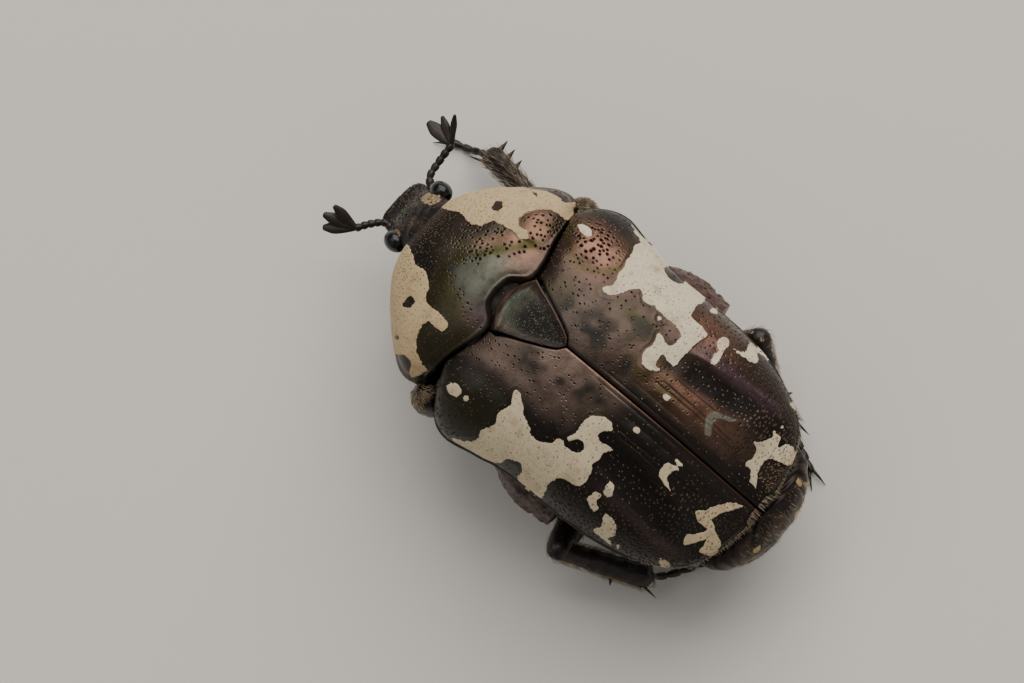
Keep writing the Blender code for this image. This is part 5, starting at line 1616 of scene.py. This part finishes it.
# %% Grow hairs
TILES = 6
FRINGE_START = 5.4
BLADE_CORNERS = [[0.0, 0.0], [1.0, 0.0], [0.5, 1.0], [0.2, 0.5], [0.8, 0.5], [0.5, 0.8], [0.5, 0.4]]
BLADE = np.array(BLADE_CORNERS) * 0.003
HAIR_SIZES, HAIR_TAPER, HAIR_BEND = (0.6, 1.2), 0.75, 0.4
ROOT_SCATTER, ROOT_DEPTH, LEAST_HEIGHT = 0.01, 0.03, 0.01


def hair_roots(skin, mask, count, seed, in_line):
    """Points of a skin where the mask is true, with normals and places on the unrolled skin."""
    grid, normal = skins[skin]
    draw = np.random.default_rng(seed)
    rows, columns = np.nonzero(mask(grid, normal))
    pick = draw.integers(0, len(rows), count)
    if in_line:
        places = grid[rows, columns]
        bearing = np.arctan2(abs(places[:, 0]), places[:, 1] - FRINGE_START)
        wanted = np.linspace(bearing.min(), bearing.max(), count)
        pick = abs(bearing[None] - wanted[:, None]).argmin(axis=1)
    i, j = rows[pick], columns[pick]
    tile = list(skins).index(skin)
    spot = np.stack([j / grid.shape[1] + tile % TILES, i / grid.shape[0] + tile // TILES], axis=1) / TILES
    return grid[i, j] + draw.normal(0, ROOT_SCATTER, (count, 3)), normal[i, j], spot, draw


def blades(skin, mask, count, length, lean, radius, seed, lie=(0.0, 1.0, -0.2), stray=0.22, in_line=False):
    """Hairs on one skin: a bent three-sided blade at each root. Without a way to lie they lean outward."""
    root, normal, spot, draw = hair_roots(skin, mask, count, seed, in_line)
    lying = normal * (1, 1, 0) + (0, 0.1, -0.2) if lie is None else np.array(lie)
    lying = lying + draw.normal(0, stray, (count, 3))
    lying -= normal * np.sum(lying * normal, axis=1, keepdims=True)
    lying /= np.maximum(np.linalg.norm(lying, axis=1, keepdims=True), 1e-6)
    size = length * draw.uniform(*HAIR_SIZES, (count, 1))
    first = normal * (1 - lean) + lying * lean
    last = normal * (1 - lean) * HAIR_BEND + lying
    first /= np.linalg.norm(first, axis=1, keepdims=True)
    last /= np.linalg.norm(last, axis=1, keepdims=True)
    middle = root + first * size * 0.5
    tip = middle + last * size * 0.5
    side = np.cross(first, lying + (0.01, 0.02, 0.03))
    side /= np.maximum(np.linalg.norm(side, axis=1, keepdims=True), 1e-6)
    up = np.cross(side, first)
    base = root - first * ROOT_DEPTH
    ring = [side, -0.5 * side + 0.87 * up, -0.5 * side - 0.87 * up]
    points = [base + r * radius for r in ring] + [middle + r * radius * HAIR_TAPER for r in ring] + [tip]
    points = np.stack(points, axis=1)
    points[:, :, 2] = np.maximum(points[:, :, 2], LEAST_HEIGHT)
    return points, spot


def add_hairs(name, groups):
    """One piece of hairs from several groups of blades."""
    points = np.concatenate([group[0] for group in groups])
    places = np.concatenate([group[1] for group in groups])
    count = len(points)
    start = (np.arange(count) * 7)[:, None, None]
    walls = start + np.array([[0, 1, 4, 3], [1, 2, 5, 4], [2, 0, 3, 5]])[None]
    tips = start + np.array([[3, 4, 6], [4, 5, 6], [5, 3, 6], [2, 1, 0]])[None]
    faces = [walls.reshape(-1, 4), tips.reshape(-1, 3)]
    shape = {"points": points.reshape(-1, 3), "faces": faces, "values": {}}
    piece = add_piece(name, [shape], hair_finish)
    layer = piece.data.uv_layers.new(name="OFBake")
    corner = np.empty(len(piece.data.loops), np.int32)
    piece.data.loops.foreach_get("vertex_index", corner)
    layer.data.foreach_set("uv", (places[corner // 7] + BLADE[corner % 7]).astype(np.float32).ravel())


print("skins that can carry hairs", len(skins))

# %% [markdown]
# Hairs grow in a fringe along the hind margin of the wing cases, on the tail plate, the belly and its
# sides, the breast and the head, in front of each shoulder, and along the edges of the limbs. A mask is a
# function that says yes or no for each point of a skin.

# %% Where the hairs grow
GUTTER = (0.18, 0.21)


def tail_gutter(name):
    """The groove beside the hind margin of a wing case."""
    gutter = (rims[name] > GUTTER[0]) & (rims[name] < GUTTER[1])
    return lambda grid, normal: gutter & (grid[:, :, 1] > FRINGE_START) & (abs(grid[:, :, 0]) > 0.1)


def low_sides(low, high):
    """The part of a skin between two heights that faces sideways or down."""
    return lambda grid, normal: (grid[:, :, 2] > low) & (grid[:, :, 2] < high) & (normal[:, :, 2] < 0.6)


def anywhere(grid, normal):
    """Every point of a skin."""
    return np.ones(grid.shape[:2], bool)


def lobe_front(grid, normal):
    """The front half of a shoulder lobe; the rear half is bare."""
    return grid[:, :, 1] < SHOULDER_LOBES[LEFT][1] + 0.05


def outer_edge(grid, normal):
    """The edges of a limb, at both sides."""
    return abs(normal[:, :, 2]) < 0.45


# Each group: a skin, the mask, how many hairs, their length, lean, radius and seed, and the way they lie.
add_hairs("hairs_of_the_tail", [
    *(blades(name, tail_gutter(name), 80, 0.28, 0.75, 0.014, seed, None, 0.03, True)
      for name, seed in (("elytron_left", 61), ("elytron_right", 62))),
    blades("pygidium", lambda g, n: (g[:, :, 1] > 7.9) & (g[:, :, 2] > 2.4), 420, 0.15, 0.5, 0.006, 63),
])
add_hairs("hairs_of_the_trunk", [
    blades("thorax", low_sides(1.6, 2.8), 4000, 0.30, 0.6, 0.008, 64),
    blades("thorax", low_sides(2.8, 3.9), 400, 0.10, 0.9, 0.006, 71),
    blades("abdomen", low_sides(1.6, 3.9), 2600, 0.20, 0.85, 0.007, 65),
    blades("lobe_left", lobe_front, 800, 0.15, 0.75, 0.011, 66),
    blades("lobe_right", lobe_front, 800, 0.15, 0.75, 0.011, 67),
])
add_hairs("hairs_of_the_front", [
    blades("prothorax", low_sides(2.0, 4.2), 2600, 0.34, 0.55, 0.008, 68),
    blades("head", anywhere, 300, 0.11, 0.7, 0.006, 69, (0.0, -0.6, 0.3)),
])
limb_groups = []
for pair, side in LEGS:
    name = f"{pair}_{SIDE_NAMES[side]}"
    to_tip = (0.0, -1.0 if pair == "front" else 1.0, -0.5)
    limb_groups.append(blades(f"{name}_femur", outer_edge, 260, 0.28, 0.7, 0.006, 70))
    thick, where = (600, anywhere) if pair == "front" else (480, outer_edge)
    limb_groups.append(blades(f"{name}_tibia", where, thick, 0.34, 0.65, 0.007, 71, to_tip))
add_hairs("hairs_of_the_legs", limb_groups)

# %% [markdown]
# The stage is a plain pale floor with soft light. A broad lamp stands to the beetle's right, so that its
# right wing case mirrors it and its left flank falls dark. A weak one fills from the other side, one lights
# the tail, and a small one above the head gives the plates round the scutellum their sheen.

# %% Floor and light
FLOOR_HALF = 0.6
WORLD_COLOUR, WORLD_STRENGTH = (0.88, 0.86, 0.82, 1), 0.16
floor_mesh = bpy.data.meshes.new("studio_floor")
corners = [(-FLOOR_HALF, -FLOOR_HALF, 0), (FLOOR_HALF, -FLOOR_HALF, 0), (FLOOR_HALF, FLOOR_HALF, 0),
           (-FLOOR_HALF, FLOOR_HALF, 0)]
floor_mesh.from_pydata(corners, [], [(0, 1, 2, 3)])
floor_mesh.materials.append(floor_paint())
floor = bpy.data.objects.new("studio_floor", floor_mesh)
bpy.context.scene.collection.objects.link(floor)

world = bpy.data.worlds.new("studio")
world.use_nodes = True
backdrop = world.node_tree.nodes["Background"]
backdrop.inputs["Color"].default_value = WORLD_COLOUR
backdrop.inputs["Strength"].default_value = WORLD_STRENGTH
bpy.context.scene.world = world
LAMPS = {
    "key": ((-0.17, -0.08, 0.20), 0.30, 0.85, (1.0, 0.95, 0.89)),
    "fill": ((0.22, -0.12, 0.14), 0.34, 0.07, (1.0, 0.96, 0.92)),
    "rear": ((0.05, 0.26, 0.14), 0.34, 0.10, (1.0, 0.97, 0.93)),
    "sheen": ((0.05, -0.17, 0.27), 0.18, 0.10, (1.0, 0.97, 0.94)),
}
for name, (place, size, power, colour) in LAMPS.items():
    lamp_data = bpy.data.lights.new(name, "AREA")
    lamp_data.size, lamp_data.energy, lamp_data.color = size, power, colour
    lamp = bpy.data.objects.new(name, lamp_data)
    lamp.location = place
    lamp.rotation_euler = (-Vector(place)).to_track_quat("-Z", "Y").to_euler()
    bpy.context.scene.collection.objects.link(lamp)
print("lamps", list(LAMPS))
